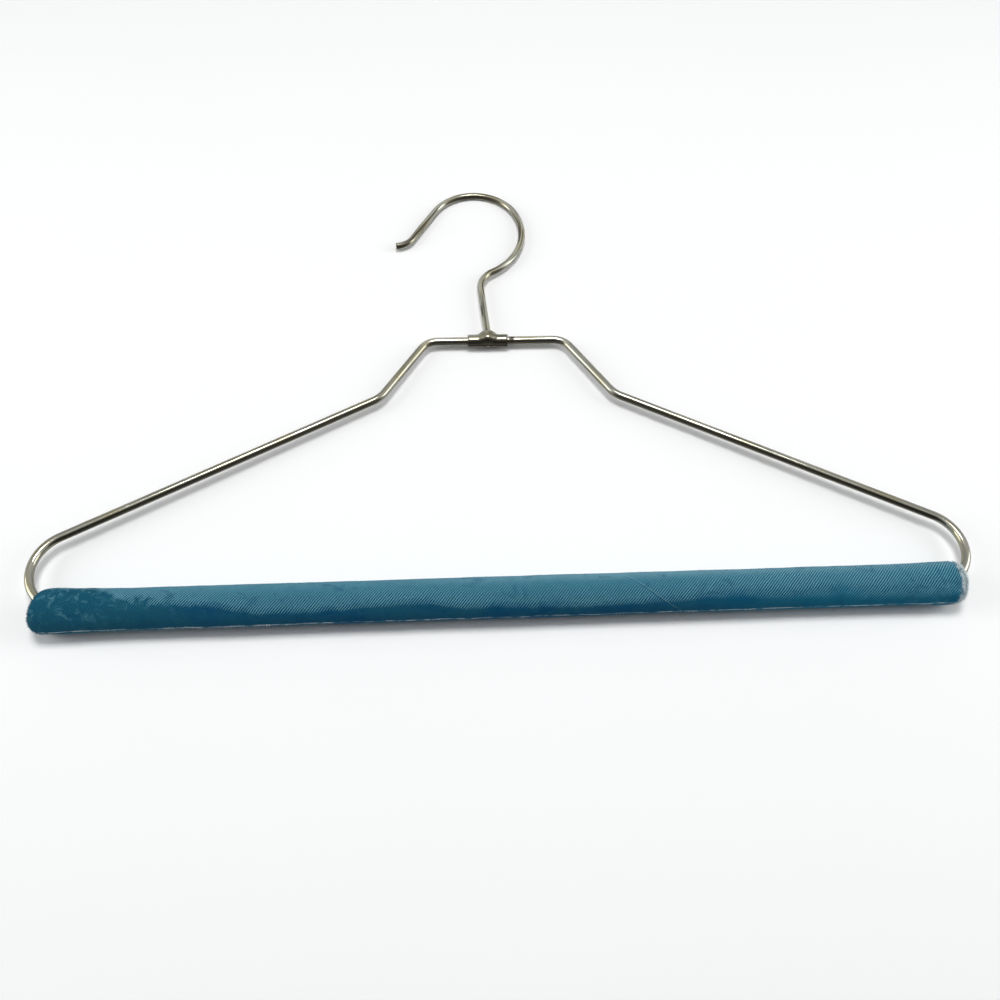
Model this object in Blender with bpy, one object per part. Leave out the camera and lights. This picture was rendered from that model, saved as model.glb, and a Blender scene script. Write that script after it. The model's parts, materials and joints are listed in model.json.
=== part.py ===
"""Velvet trouser hanger, lying flat on a table.

A closed loop of plated wire carries everything. Its bottom run is buried in a straight padded bar
with a velvet cover, and its short top run carries a folded sheet collar that slides along it.
A bent wire hook turns in the collar's conical seat.

The wire is drawn in its own plane: X along the bar, Y from the bar towards the hook, Z out of the
plane, with Y = 0 on the axis of the top run. The whole plane then leans a little, because the bar
is thicker than the hook, and the hanger lies on both.
"""
import math

import bmesh
import bpy
from mathutils import Matrix, Vector

MM = 0.001

# Wire frame
WIRE_DIAMETER = 4.0 * MM
FRAME_WIDTH = 417.0 * MM
FRAME_HEIGHT = 143.0 * MM
TOP_RUN_LENGTH = 69.0 * MM
STEEP_HEIGHT = 34.7 * MM
STEEP_ANGLE = math.radians(56.7)
NECK_BEND_RADIUS = 10.0 * MM
ELBOW_BEND_RADIUS = 14.0 * MM
SHOULDER_BEND_RADIUS = 18.7 * MM
WELD_BEAD_RISE = 0.5 * MM
WELD_BEAD_LENGTH = 3.0 * MM

# Hook, from the collar upwards
HOOK_WIRE_DIAMETER = 3.6 * MM
HOOK_LEAN = math.radians(4.85)
HOOK_STEM_LENGTH = 30.0 * MM
HOOK_NECK_RADIUS = 12.3 * MM
HOOK_NECK_TURN = math.radians(65.8)
HOOK_FLANK_RADIUS = 33.8 * MM
HOOK_FLANK_TURN = math.radians(85.7)
HOOK_CROWN_RADIUS = 25.1 * MM
HOOK_CROWN_TURN = math.radians(124.5)
HOOK_NOSE_LENGTH = 23.8 * MM
HOOK_TIP_RADIUS = 11.1 * MM
HOOK_TIP_TURN = math.radians(54.0)
HOOK_TIP_CHAMFER = 0.4 * MM

# Collar: one strip of sheet folded round the top run, with a drawn boss for the hook
COLLAR_LENGTH = 20.2 * MM
COLLAR_SHEET = 0.8 * MM
COLLAR_OFFSET = -3.8 * MM
COLLAR_SEAM_GAP = 0.5 * MM
RUN_CLEARANCE = 0.4 * MM
BOSS_CONE_HEIGHT = 2.9 * MM
BOSS_CONE_ANGLE = math.radians(40.2)
BOSS_FILLET = 1.2 * MM
HOOK_HOLE_CLEARANCE = 0.35 * MM
HEAD_RIM_HEIGHT = 0.5 * MM
HEAD_SEAT_CLEARANCE = 0.3 * MM
HEAD_CHAMFER = 0.3 * MM

# Padded bar, which sits a little to the left on the wire and a little turned to it
BAR_RADIUS = 9.1 * MM
BAR_LENGTH = 402.4 * MM
BAR_SHIFT = -1.3 * MM
BAR_TURN = math.radians(0.26)
BAR_END_ROUNDING = 7.8 * MM
BAR_SWELL_LEFT = 0.7 * MM
BAR_SWELL_RIGHT = 0.4 * MM
BAR_SWELL_LENGTH = 45.0 * MM
COVER_THICKNESS = 1.0 * MM
COVER_LAP_RISE = 0.5 * MM
COVER_LAP_WIDTH = 8.0 * MM
GATHER_DEPTH = 1.2 * MM
WADDING_THICKNESS = 1.3 * MM
WADDING_END_THICKNESS = 5.5 * MM
CORE_END_ROUNDING = 2.0 * MM
CORE_PARTING_GAP = 0.3 * MM
LAYER_GAP = 0.3 * MM
REST_FLAT_DEPTH = 0.5 * MM

# Where the cover's lapped edge lies, from the top of the bar round its front
SEAM_ANGLE = math.radians(118.0)

# How finely round shapes are cut into facets
WIRE_SIDES = 16
BEND_STEP = math.radians(8.0)
BAR_SIDES = 24
LINING_SIDES = 20
DOME_STEPS = 6
SWELL_STEPS = 4
COLLAR_COARSE_STEP = math.radians(15.0)
COLLAR_FINE_STEP = math.radians(8.0)
COLLAR_FINE_REACH = math.radians(48.0)
COLLAR_BOSS_STEPS = 8
COLLAR_SLEEVE_STEPS = 2
HOLE_SIDES = 32
SMOOTH_ANGLE = math.radians(40.0)

# Shape shares and powers: the gather sinks from the dome's tip in steps of depth and radius
DOME_POWER = 2.5
GATHER_DEPTH_SHARES = (0.0, 0.4, 1.0)
GATHER_RADIUS_SHARES = (0.34, 0.22, 0.1)
HEAD_DIP_SHARE = 0.5

# One overrun serves every cut
OVERRUN = 5.0 * MM

WIRE_RADIUS = WIRE_DIAMETER / 2
HOOK_WIRE_RADIUS = HOOK_WIRE_DIAMETER / 2
HOOK_HOLE_RADIUS = HOOK_WIRE_RADIUS + HOOK_HOLE_CLEARANCE
SLEEVE_RADIUS = WIRE_RADIUS + RUN_CLEARANCE + COLLAR_SHEET
BOSS_SLOPE = math.tan(BOSS_CONE_ANGLE)
BOSS_RADIUS = HOOK_HOLE_RADIUS + BOSS_CONE_HEIGHT * BOSS_SLOPE
BAR_HALF_LENGTH = BAR_LENGTH / 2
REST_HEIGHT = BAR_RADIUS - REST_FLAT_DEPTH
LINING_INSET = COVER_THICKNESS + LAYER_GAP
CORE_INSET = LINING_INSET + WADDING_THICKNESS + LAYER_GAP

# Heights above the top run's axis, along the hook's stem. The head dips on one side as it leans.
HEAD_FOOT = WIRE_RADIUS + RUN_CLEARANCE + BOSS_RADIUS * math.sin(HOOK_LEAN) * HEAD_DIP_SHARE
BOSS_SHOULDER = HEAD_FOOT + HEAD_RIM_HEIGHT
BOSS_LIP = BOSS_SHOULDER + BOSS_CONE_HEIGHT
HOOK_PIVOT = BOSS_LIP - COLLAR_SHEET


def clear_scene():
    """Start from an empty scene."""
    for item in list(bpy.data.objects):
        bpy.data.objects.remove(item, do_unlink=True)


def finish_material(name, colour, roughness, metallic=0.0):
    """Make one piece's own Principled material."""
    material = bpy.data.materials.new(name)
    material.use_nodes = True
    shader = material.node_tree.nodes["Principled BSDF"]
    shader.inputs["Base Color"].default_value = (*colour, 1.0)
    shader.inputs["Roughness"].default_value = roughness
    shader.inputs["Metallic"].default_value = metallic
    material.diffuse_color = (*colour, 1.0)
    return material


def link_object(name, data):
    """Put an object with this data into the scene."""
    item = bpy.data.objects.new(name, data)
    bpy.context.scene.collection.objects.link(item)
    return item


def face_outwards(mesh):
    """Weld coincident points and turn every face out."""
    work = bmesh.new()
    work.from_mesh(mesh)
    bmesh.ops.remove_doubles(work, verts=work.verts, dist=LAYER_GAP / 100)
    bmesh.ops.recalc_face_normals(work, faces=work.faces)
    work.to_mesh(mesh)
    work.free()


def mesh_object(name, points, faces):
    """Make an object from points and faces."""
    mesh = bpy.data.meshes.new(name)
    mesh.from_pydata([tuple(point) for point in points], [], faces)
    face_outwards(mesh)
    return link_object(name, mesh)


def loft(name, rings):
    """Join rings of equal count, and close both ends with a flat cap."""
    count = len(rings[0])
    points = [point for ring in rings for point in ring]
    faces = [tuple(range(count))]
    for ring in range(len(rings) - 1):
        for side in range(count):
            here = ring * count + side
            beside = ring * count + (side + 1) % count
            faces.append((here, beside, beside + count, here + count))
    faces.append(tuple(range(len(points) - count, len(points))))
    return mesh_object(name, points, faces)


def tube(name, points, radii, closed=False):
    """Sweep a round section along points, with its own radius at each of them."""
    curve = bpy.data.curves.new(name, "CURVE")
    curve.dimensions = "3D"
    curve.bevel_depth = max(radii)
    curve.bevel_resolution = WIRE_SIDES // 2 - 2
    curve.use_fill_caps = not closed
    spline = curve.splines.new("POLY")
    spline.points.add(len(points) - 1)
    spline.use_cyclic_u = closed
    for place, point, radius in zip(spline.points, points, radii):
        place.co = (*point, 1.0)
        place.radius = radius / curve.bevel_depth
    guide = link_object(name + "_path", curve)
    mesh = bpy.data.meshes.new_from_object(guide)
    mesh.name = name
    bpy.data.objects.remove(guide, do_unlink=True)
    face_outwards(mesh)
    return link_object(name, mesh)


def combine(piece, tool, operation):
    """Cut a piece with a tool, or join the tool to it, and delete the tool."""
    tool.hide_render = True
    tool.display_type = "WIRE"
    change = piece.modifiers.new(operation.title(), "BOOLEAN")
    change.operation = operation
    change.solver = "EXACT"
    change.object = tool
    bpy.context.view_layer.update()
    seen = piece.evaluated_get(bpy.context.evaluated_depsgraph_get())
    mesh = bpy.data.meshes.new_from_object(seen)
    piece.modifiers.remove(change)
    piece.data = mesh
    bpy.data.objects.remove(tool, do_unlink=True)


def dress(piece, colour, roughness, metallic=0.0):
    """Give a piece its material and its shading."""
    piece.data.name = piece.name
    piece.data.materials.clear()
    piece.data.materials.append(finish_material(piece.name, colour, roughness, metallic))
    piece.data.shade_smooth()
    piece.data.set_sharp_from_angle(angle=SMOOTH_ANGLE)
    return piece


def round_corners(corners, radii):
    """Points of a closed outline whose corners are rounded by arcs."""
    points = []
    for index, corner in enumerate(corners):
        back = (corners[index - 1] - corner).normalized()
        ahead = (corners[(index + 1) % len(corners)] - corner).normalized()
        half = back.angle(ahead) / 2
        centre = corner + (back + ahead).normalized() * (radii[index] / math.sin(half))
        start = corner + back * (radii[index] / math.tan(half)) - centre
        end = corner + ahead * (radii[index] / math.tan(half)) - centre
        turn = start.angle(end)
        parts = math.ceil(turn / BEND_STEP)
        for part in range(parts + 1):
            share = part / parts
            spoke = start * math.sin((1 - share) * turn) + end * math.sin(share * turn)
            points.append(centre + spoke / math.sin(turn))
    return points


def bend_path(start, heading, bends):
    """Points of an open wire in its plane.

    Each bend is a radius and a turn, positive to the left; a turn of zero is a straight length.
    """
    place = Vector(start)
    points = [place.copy()]
    for radius, turn in bends:
        if turn == 0:
            place = place + Vector((math.cos(heading), math.sin(heading), 0)) * radius
            points.append(place.copy())
            continue
        parts = math.ceil(abs(turn) / BEND_STEP)
        step = turn / parts
        chord = 2 * radius * math.sin(abs(step) / 2)
        for _ in range(parts):
            aim = heading + step / 2
            place = place + Vector((math.cos(aim), math.sin(aim), 0)) * chord
            points.append(place.copy())
            heading += step
    return points


def frame_outline():
    """Corners of the frame's closed outline, and the radius at each of them.

    The slope runs from the foot of the steep stretch and touches the shoulder's bend.
    """
    neck = TOP_RUN_LENGTH / 2
    elbow = Vector((neck + STEEP_HEIGHT / math.tan(STEEP_ANGLE), -STEEP_HEIGHT, 0))
    bend_x = FRAME_WIDTH / 2 - WIRE_RADIUS - SHOULDER_BEND_RADIUS
    bend_centre = Vector((bend_x, SHOULDER_BEND_RADIUS - FRAME_HEIGHT, 0))
    reach = bend_centre - elbow
    slope = math.atan2(-reach.y, reach.x) - math.asin(SHOULDER_BEND_RADIUS / reach.length)
    foot = Vector((elbow.x + (FRAME_HEIGHT - STEEP_HEIGHT) / math.tan(slope), -FRAME_HEIGHT, 0))
    right = [Vector((neck, 0, 0)), elbow, foot]
    radii = [NECK_BEND_RADIUS, ELBOW_BEND_RADIUS, SHOULDER_BEND_RADIUS]
    left = [Vector((-corner.x, corner.y, 0)) for corner in reversed(right)]
    return right + left, radii + radii[::-1]


def frame_tube(name, clearance=0.0):
    """The wire loop, or with a clearance the channel that it lies in.

    A butt weld closes the loop in the middle of the bottom run, and its bead stands a little proud.
    """
    points = round_corners(*frame_outline())
    radii = [WIRE_RADIUS + clearance] * len(points)
    middle = len(points) // 2
    plain = WIRE_RADIUS + clearance
    bead = plain + WELD_BEAD_RISE
    half = WELD_BEAD_LENGTH / 2 + clearance
    for x, radius in ((-half, plain), (-half / 2, bead), (half / 2, bead), (half, plain)):
        points.insert(middle, Vector((x, -FRAME_HEIGHT, 0)))
        radii.insert(middle, radius)
    return tube(name, points, radii, closed=True)


def make_frame_wire():
    """Closed loop of round wire: top run, steep neck, slopes, shoulders and the buried bottom run."""
    return dress(frame_tube("frame_wire"), (0.46, 0.45, 0.41), 0.22, 1.0)


def boss_radius_at(height):
    """Outer radius of the collar's boss about the hook's axis, at a height above the run's axis."""
    if height < 0:
        share = height / SLEEVE_RADIUS
        return BOSS_RADIUS * math.sqrt(max(0.0, 1 - share * share))
    return BOSS_RADIUS - max(0.0, height - BOSS_SHOULDER) * BOSS_SLOPE


def collar_reach(x, angle):
    """How far the collar's outer skin reaches from the run's axis, at x, in a direction from straight up.

    The skin is that of the sleeve and the boss together, with a smooth fillet where they meet.
    """
    near = 0.0
    far = BOSS_LIP + BOSS_RADIUS
    for _ in range(40):
        middle = (near + far) / 2
        sleeve = middle - SLEEVE_RADIUS
        width = boss_radius_at(middle * math.cos(angle))
        boss = (math.hypot(x, middle * math.sin(angle)) - width) * math.cos(BOSS_CONE_ANGLE)
        overlap = max(0.0, 1 - abs(sleeve - boss) / BOSS_FILLET)
        outside = min(sleeve, boss) > BOSS_FILLET * overlap * overlap / 4
        near, far = (near, middle) if outside else (middle, far)
    return near


def collar_angles():
    """Directions round the top run, from one edge of the folded strip to the other, finer at the boss."""
    gap = math.asin(COLLAR_SEAM_GAP / 2 / SLEEVE_RADIUS)
    fine = round(COLLAR_FINE_REACH / COLLAR_FINE_STEP)
    top = [COLLAR_FINE_REACH * step / fine for step in range(fine + 1)]
    rest = math.pi - gap - COLLAR_FINE_REACH
    coarse = round(rest / COLLAR_COARSE_STEP)
    side = [COLLAR_FINE_REACH + rest * step / coarse for step in range(1, coarse + 1)]
    half = top + side
    return [-angle for angle in reversed(half[1:])] + half


def collar_stations():
    """Places along the collar, finer across the boss."""
    foot = BOSS_RADIUS + BOSS_FILLET
    quarter = [math.pi / 2 * step / COLLAR_BOSS_STEPS for step in range(COLLAR_BOSS_STEPS + 1)]
    inner = [foot * math.sin(turn) for turn in quarter]
    spare = (COLLAR_LENGTH / 2 - foot) / COLLAR_SLEEVE_STEPS
    outer = [foot + spare * (step + 1) for step in range(COLLAR_SLEEVE_STEPS)]
    half = inner + outer
    return [-x for x in reversed(half[1:])] + half


def make_collar():
    """Folded strip with a conical boss: one skin thickened inwards, then pierced for the hook."""
    angles = collar_angles()
    points = []
    for x in collar_stations():
        for angle in angles:
            reach = collar_reach(x, angle)
            points.append(Vector((x, reach * math.cos(angle), reach * math.sin(angle))))
    count = len(angles)
    faces = []
    for station in range(len(points) // count - 1):
        for side in range(count - 1):
            corner = station * count + side
            faces.append((corner, corner + 1, corner + count + 1, corner + count))
    collar = mesh_object("hook_collar", points, faces)
    wall = collar.modifiers.new("Sheet", "SOLIDIFY")
    wall.thickness = COLLAR_SHEET
    wall.offset = -1.0
    wall.use_even_offset = True
    hole = round_rod("hook_hole", HOOK_HOLE_RADIUS, HEAD_FOOT, BOSS_LIP + OVERRUN)
    bpy.context.view_layer.update()
    seen = collar.evaluated_get(bpy.context.evaluated_depsgraph_get())
    collar.data = bpy.data.meshes.new_from_object(seen)
    collar.modifiers.remove(wall)
    face_outwards(collar.data)
    combine(collar, hole, "DIFFERENCE")
    collar.location = (COLLAR_OFFSET, 0, 0)
    return dress(collar, (0.44, 0.43, 0.40), 0.28, 1.0)


def round_rod(name, radius, low, high):
    """A plain rod along Y from low to high."""
    rings = []
    for y in (low, high):
        turns = [2 * math.pi * side / HOLE_SIDES for side in range(HOLE_SIDES)]
        rings.append([Vector((radius * math.cos(turn), y, radius * math.sin(turn))) for turn in turns])
    return loft(name, rings)


def head_radius():
    """Radius of the hook's upset head, which seats in the boss's cone with clearance for its lean."""
    inner = BOSS_RADIUS - (COLLAR_SHEET + HEAD_SEAT_CLEARANCE) / math.cos(BOSS_CONE_ANGLE)
    return inner - (HOOK_PIVOT - HEAD_FOOT) * math.sin(HOOK_LEAN)


def make_hook():
    """Bent wire hook with an upset head, drawn about its swivel axis, with its pivot at the origin."""
    foot = HEAD_FOOT - HOOK_PIVOT
    radius = head_radius()
    cone = (radius - HOOK_WIRE_RADIUS) / BOSS_SLOPE
    head = [
        (foot, radius - HEAD_CHAMFER),
        (foot + HEAD_CHAMFER, radius),
        (foot + HEAD_RIM_HEIGHT, radius),
        (foot + HEAD_RIM_HEIGHT + cone, HOOK_WIRE_RADIUS),
    ]
    points = [Vector((0, height, 0)) for height, _ in head]
    radii = [size for _, size in head]
    start = (0, foot + HEAD_RIM_HEIGHT + cone, 0)
    stem = HOOK_STEM_LENGTH - start[1]
    bends = [
        (stem, 0),
        (HOOK_NECK_RADIUS, -HOOK_NECK_TURN),
        (HOOK_FLANK_RADIUS, HOOK_FLANK_TURN),
        (HOOK_CROWN_RADIUS, HOOK_CROWN_TURN),
        (HOOK_NOSE_LENGTH, 0),
        (HOOK_TIP_RADIUS, -HOOK_TIP_TURN),
        (HOOK_TIP_CHAMFER, 0),
    ]
    path = bend_path(start, math.pi / 2, bends)
    points += path[1:]
    radii += [HOOK_WIRE_RADIUS] * (len(path) - 2) + [HOOK_WIRE_RADIUS - HOOK_TIP_CHAMFER]
    hook = tube("swivel_hook", points, radii)
    hook.location = (0, HOOK_PIVOT, 0)
    hook.rotation_euler = (0, 0, HOOK_LEAN)
    return dress(hook, (0.46, 0.45, 0.41), 0.2, 1.0)


def swell_at(x):
    """How much fuller the bar is near its ends, where the cover is tucked in and doubled."""
    most = BAR_SWELL_LEFT if x < 0 else BAR_SWELL_RIGHT
    share = max(0.0, (abs(x) - BAR_HALF_LENGTH + BAR_SWELL_LENGTH) / BAR_SWELL_LENGTH)
    share = min(1.0, share)
    return most * share * share * (3 - 2 * share)


def bar_stations(end, rounding):
    """Places along one half of a bar layer with the share of its radius, from the middle outwards."""
    swell_start = BAR_HALF_LENGTH - BAR_SWELL_LENGTH
    dome_start = end - rounding
    places = [(swell_start / 2, 1.0)]
    for step in range(SWELL_STEPS):
        places.append((swell_start + (dome_start - swell_start) * step / SWELL_STEPS, 1.0))
    for step in range(DOME_STEPS):
        depth = math.sin(math.pi / 2 * step / DOME_STEPS)
        places.append((dome_start + rounding * depth, (1 - depth**DOME_POWER) ** (1 / DOME_POWER)))
    return places


def bar_layer(name, inset, end_inset, sides, rounding, lapped=False, gathered=False):
    """One closed layer of the bar, inset from the cover's outer face.

    The swollen ends rise, so the underside stays level. A lapped layer is the wrapped cover, whose
    free edge stands proud at the seam.
    """
    end = BAR_HALF_LENGTH - end_inset
    half = bar_stations(end, rounding)
    for depth, share in zip(GATHER_DEPTH_SHARES, GATHER_RADIUS_SHARES):
        if gathered or depth == 0:
            half.append((end - GATHER_DEPTH * depth, share))
    places = [(-x, share) for x, share in reversed(half)] + [(0.0, 1.0)] + half
    turns = [2 * math.pi * side / sides for side in range(sides)]
    lap_turn = COVER_LAP_WIDTH / BAR_RADIUS
    if lapped:
        edge = LAYER_GAP / BAR_RADIUS
        turns = [turn for turn in turns if abs(turn - SEAM_ANGLE) > 2 * edge]
        turns = sorted(turns + [SEAM_ANGLE - edge, SEAM_ANGLE + edge])
    rings = []
    for x, share in places:
        swell = swell_at(x)
        ring = []
        for turn in turns:
            radius = (BAR_RADIUS + swell - inset) * share
            if lapped and 0 < SEAM_ANGLE - turn < lap_turn:
                radius += COVER_LAP_RISE * share * (1 - (SEAM_ANGLE - turn) / lap_turn)
            ring.append(Vector((x, -radius * math.sin(turn), swell + radius * math.cos(turn))))
        rings.append(ring)
    return loft(name, rings)


def on_bar(piece):
    """Place a bar layer, which is drawn about the bar's own axis, on the frame's bottom run."""
    piece.location = (BAR_SHIFT, -FRAME_HEIGHT, 0)
    piece.rotation_euler = (0, 0, BAR_TURN)
    return piece


def rest_lean():
    """Angle by which the hanger leans, lying on the flat of its bar and the crown of its hook."""
    crown = hook_crown_height()
    return math.asin((HOOK_WIRE_RADIUS - REST_HEIGHT) / (FRAME_HEIGHT + crown))


def hook_crown_height():
    """Height of the hook wire's axis at its crown, above the top run's axis."""
    bends = [
        (HOOK_STEM_LENGTH, 0),
        (HOOK_NECK_RADIUS, -HOOK_NECK_TURN),
        (HOOK_FLANK_RADIUS, HOOK_FLANK_TURN),
        (HOOK_CROWN_RADIUS, HOOK_CROWN_TURN),
    ]
    lean = Matrix.Rotation(HOOK_LEAN, 3, "Z")
    heights = [(lean @ point).y for point in bend_path((0, 0, 0), math.pi / 2, bends)]
    return HOOK_PIVOT + max(heights)


def rest_block():
    """Block whose upper face is the table, square to the lean, under the bar."""
    depth = OVERRUN
    width = BAR_RADIUS + OVERRUN
    length = BAR_HALF_LENGTH + OVERRUN
    rings = []
    for x in (-length, length):
        rings.append([Vector((x, y, z)) for y, z in ((-width, 0), (width, 0), (width, -depth), (-width, -depth))])
    block = loft("rest_block", rings)
    lean = Matrix.Rotation(-rest_lean(), 4, "X")
    drop = lean @ Vector((0, 0, -REST_HEIGHT))
    block.matrix_world = Matrix.Translation(Vector((0, -FRAME_HEIGHT, 0)) + drop) @ lean
    return block


def make_cover():
    """Velvet sleeve wrapped round the bar and gathered at its ends, with a hole where each shoulder enters."""
    cover = bar_layer("velvet_cover", 0.0, 0.0, BAR_SIDES, BAR_END_ROUNDING, lapped=True, gathered=True)
    on_bar(cover)
    rounding = BAR_END_ROUNDING - COVER_THICKNESS
    end_inset = COVER_THICKNESS + GATHER_DEPTH
    inner = bar_layer("cover_inside", COVER_THICKNESS, end_inset, LINING_SIDES, rounding)
    combine(cover, on_bar(inner), "DIFFERENCE")
    combine(cover, frame_tube("cover_entries", LAYER_GAP), "DIFFERENCE")
    combine(cover, rest_block(), "DIFFERENCE")
    return dress(cover, (0.02, 0.13, 0.21), 0.9)


def make_wadding():
    """Soft layer between core and cover, thick at the rounded ends."""
    rounding = BAR_END_ROUNDING - COVER_THICKNESS - LAYER_GAP
    wadding = bar_layer("bar_wadding", LINING_INSET, LINING_INSET + GATHER_DEPTH, LINING_SIDES, rounding)
    on_bar(wadding)
    combine(wadding, core_rod("core_space", LAYER_GAP), "DIFFERENCE")
    combine(wadding, frame_tube("wadding_entries", LAYER_GAP), "DIFFERENCE")
    return dress(wadding, (0.82, 0.81, 0.78), 0.95)


def core_rod(name, clearance=0.0):
    """Round rod with softened ends, which the two core halves are cut from."""
    radius = BAR_RADIUS - CORE_INSET + clearance
    end = BAR_HALF_LENGTH - LINING_INSET - GATHER_DEPTH - WADDING_END_THICKNESS + clearance
    shape = [(end - CORE_END_ROUNDING, radius), (end, radius - CORE_END_ROUNDING)]
    places = [(-x, size) for x, size in reversed(shape)] + shape
    rings = []
    for x, size in places:
        turns = [2 * math.pi * (side + 0.5) / LINING_SIDES for side in range(LINING_SIDES)]
        rings.append([Vector((x, -size * math.sin(turn), size * math.cos(turn))) for turn in turns])
    return on_bar(loft(name, rings))


def make_core_half(name, side):
    """Half-round strip, grooved along its flat face for the wire, above (1) or below (-1) it."""
    half = core_rod(name)
    length = BAR_HALF_LENGTH + OVERRUN
    width = BAR_RADIUS + OVERRUN
    near = side * CORE_PARTING_GAP / 2
    far = -side * width
    corners = ((-width, near), (width, near), (width, far), (-width, far))
    rings = [[Vector((x, y, z)) for y, z in corners] for x in (-length, length)]
    combine(half, on_bar(loft("other_half", rings)), "DIFFERENCE")
    combine(half, frame_tube("core_groove", LAYER_GAP), "DIFFERENCE")
    return dress(half, (0.62, 0.47, 0.30), 0.7)


def stand_on_table(root, pieces):
    """Lean the whole hanger, and put the middle of its underside at the origin."""
    root.rotation_euler = (rest_lean(), 0, 0)
    bpy.context.view_layer.update()
    places = [piece.matrix_world @ vertex.co for piece in pieces for vertex in piece.data.vertices]
    low = Vector([min(place[axis] for place in places) for axis in range(3)])
    high = Vector([max(place[axis] for place in places) for axis in range(3)])
    root.location = (-(low.x + high.x) / 2, -(low.y + high.y) / 2, -low.z)
    bpy.context.view_layer.update()


def build():
    """Make the whole hanger."""
    clear_scene()
    wire = make_frame_wire()
    collar = make_collar()
    hook = make_hook()
    cover = make_cover()
    wadding = make_wadding()
    upper = make_core_half("core_half_upper", 1)
    lower = make_core_half("core_half_lower", -1)
    root = link_object("hanger", None)
    for piece in (wire, collar, cover, wadding, upper, lower):
        piece.parent = root
    hook.parent = collar
    stand_on_table(root, (wire, collar, hook, cover, wadding, upper, lower))


build()
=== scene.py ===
"""Velvet trouser hanger: the finish of every surface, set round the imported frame.

A closed loop of nickelled wire, a folded sheet collar and a bent wire hook are drawn finely over the
frame's solids, and the padded bar gets its velvet cover, its pile and the wadding under it. A plain
studio with a pale table holds the camera. Lengths are in metres and angles in radians.
"""

import json
import math

import bpy
import numpy as np
from bpy.props import FloatProperty, FloatVectorProperty, IntProperty, PointerProperty
from mathutils import Matrix, Vector, noise


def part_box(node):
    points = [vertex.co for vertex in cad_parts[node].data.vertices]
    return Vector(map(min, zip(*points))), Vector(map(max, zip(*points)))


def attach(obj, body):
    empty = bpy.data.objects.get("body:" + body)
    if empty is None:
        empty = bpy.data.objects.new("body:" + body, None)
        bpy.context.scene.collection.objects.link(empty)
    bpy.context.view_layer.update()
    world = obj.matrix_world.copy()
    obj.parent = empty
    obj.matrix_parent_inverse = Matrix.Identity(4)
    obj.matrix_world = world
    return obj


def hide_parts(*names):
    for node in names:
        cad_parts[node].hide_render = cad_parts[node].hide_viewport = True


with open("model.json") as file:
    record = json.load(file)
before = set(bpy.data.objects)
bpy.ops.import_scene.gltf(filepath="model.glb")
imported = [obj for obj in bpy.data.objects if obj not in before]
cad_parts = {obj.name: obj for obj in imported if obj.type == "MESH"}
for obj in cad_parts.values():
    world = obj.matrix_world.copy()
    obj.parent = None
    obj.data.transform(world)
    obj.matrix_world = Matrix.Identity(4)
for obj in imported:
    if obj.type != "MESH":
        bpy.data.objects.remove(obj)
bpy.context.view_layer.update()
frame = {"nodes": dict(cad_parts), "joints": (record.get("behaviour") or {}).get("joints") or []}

bl_info = {
    "name": "Velvet Trouser Hanger",
    "version": (1, 0, 0),
    "blender": (4, 5, 0),
    "location": "3D View > Sidebar > Hanger",
    "description": "Dresses a wire trouser hanger with a padded velvet bar and lights it",
    "category": "Object",
}

MM = 0.001

# Radii of the frame's wire and of the hook's
WIRE_RADIUS = 2.0 * MM
HOOK_RADIUS = 1.8 * MM

# The hanger's own plane, read from the frame: X along the bar, Y from the bar to the top run
WIRE_LOW, WIRE_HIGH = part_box("frame_wire")
COVER_LOW, COVER_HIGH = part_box("velvet_cover")
LOWER_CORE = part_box("core_half_lower")
UPPER_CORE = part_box("core_half_upper")
TOP_RUN = Vector((0, WIRE_HIGH.y - WIRE_RADIUS, WIRE_LOW.z + WIRE_RADIUS))
BAR_MIDDLE = (LOWER_CORE[0] + UPPER_CORE[1]) / 2
BOTTOM_RUN = Vector((0, BAR_MIDDLE.y, BAR_MIDDLE.z))
FRAME_HEIGHT = (TOP_RUN - BOTTOM_RUN).length
FRAME_WIDTH = WIRE_HIGH.x - WIRE_LOW.x
PLANE_X = np.array((1.0, 0.0, 0.0))
PLANE_Y = np.array((TOP_RUN - BOTTOM_RUN).normalized())
PLANE_Z = np.cross(PLANE_X, PLANE_Y)

SWIVEL = next(joint for joint in frame["joints"] if joint["name"] == "hook_swivel")
SWIVEL_POINT = Vector(SWIVEL["pos_m"])
SWIVEL_AXIS = Vector(SWIVEL["axis"]).normalized()
HOOK_LEAN = math.asin(-SWIVEL_AXIS.x)
COLLAR_PLACE = SWIVEL_POINT.x

# Side of every metal piece painted dark and dull, as a painted dark reflection: to the front, this far up
# from the table
PAINTED_DARK_RISE = math.radians(28)
PAINTED_DARK_SIDE = (0.0, -math.cos(PAINTED_DARK_RISE), math.sin(PAINTED_DARK_RISE))

# Middle of the bare tarnished place beside the collar, along the top run
BARE_SPOT = 8.2 * MM


def length(name, description, default):
    """A length that a user can change."""
    return FloatProperty(name=name, description=description, default=default, subtype="DISTANCE",
                         unit="LENGTH")


def turn(name, description, degrees):
    """An angle that a user can change."""
    return FloatProperty(name=name, description=description, default=math.radians(degrees), subtype="ANGLE",
                         unit="ROTATION")


def share(name, description, default):
    """A plain number from 0 to 1."""
    return FloatProperty(name=name, description=description, default=default, min=0.0, max=1.0,
                         subtype="FACTOR")


def tint(name, description, default):
    """A colour, in linear light."""
    return FloatVectorProperty(name=name, description=description, default=default, size=3, min=0.0,
                               max=1.0, subtype="COLOR")


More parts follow.
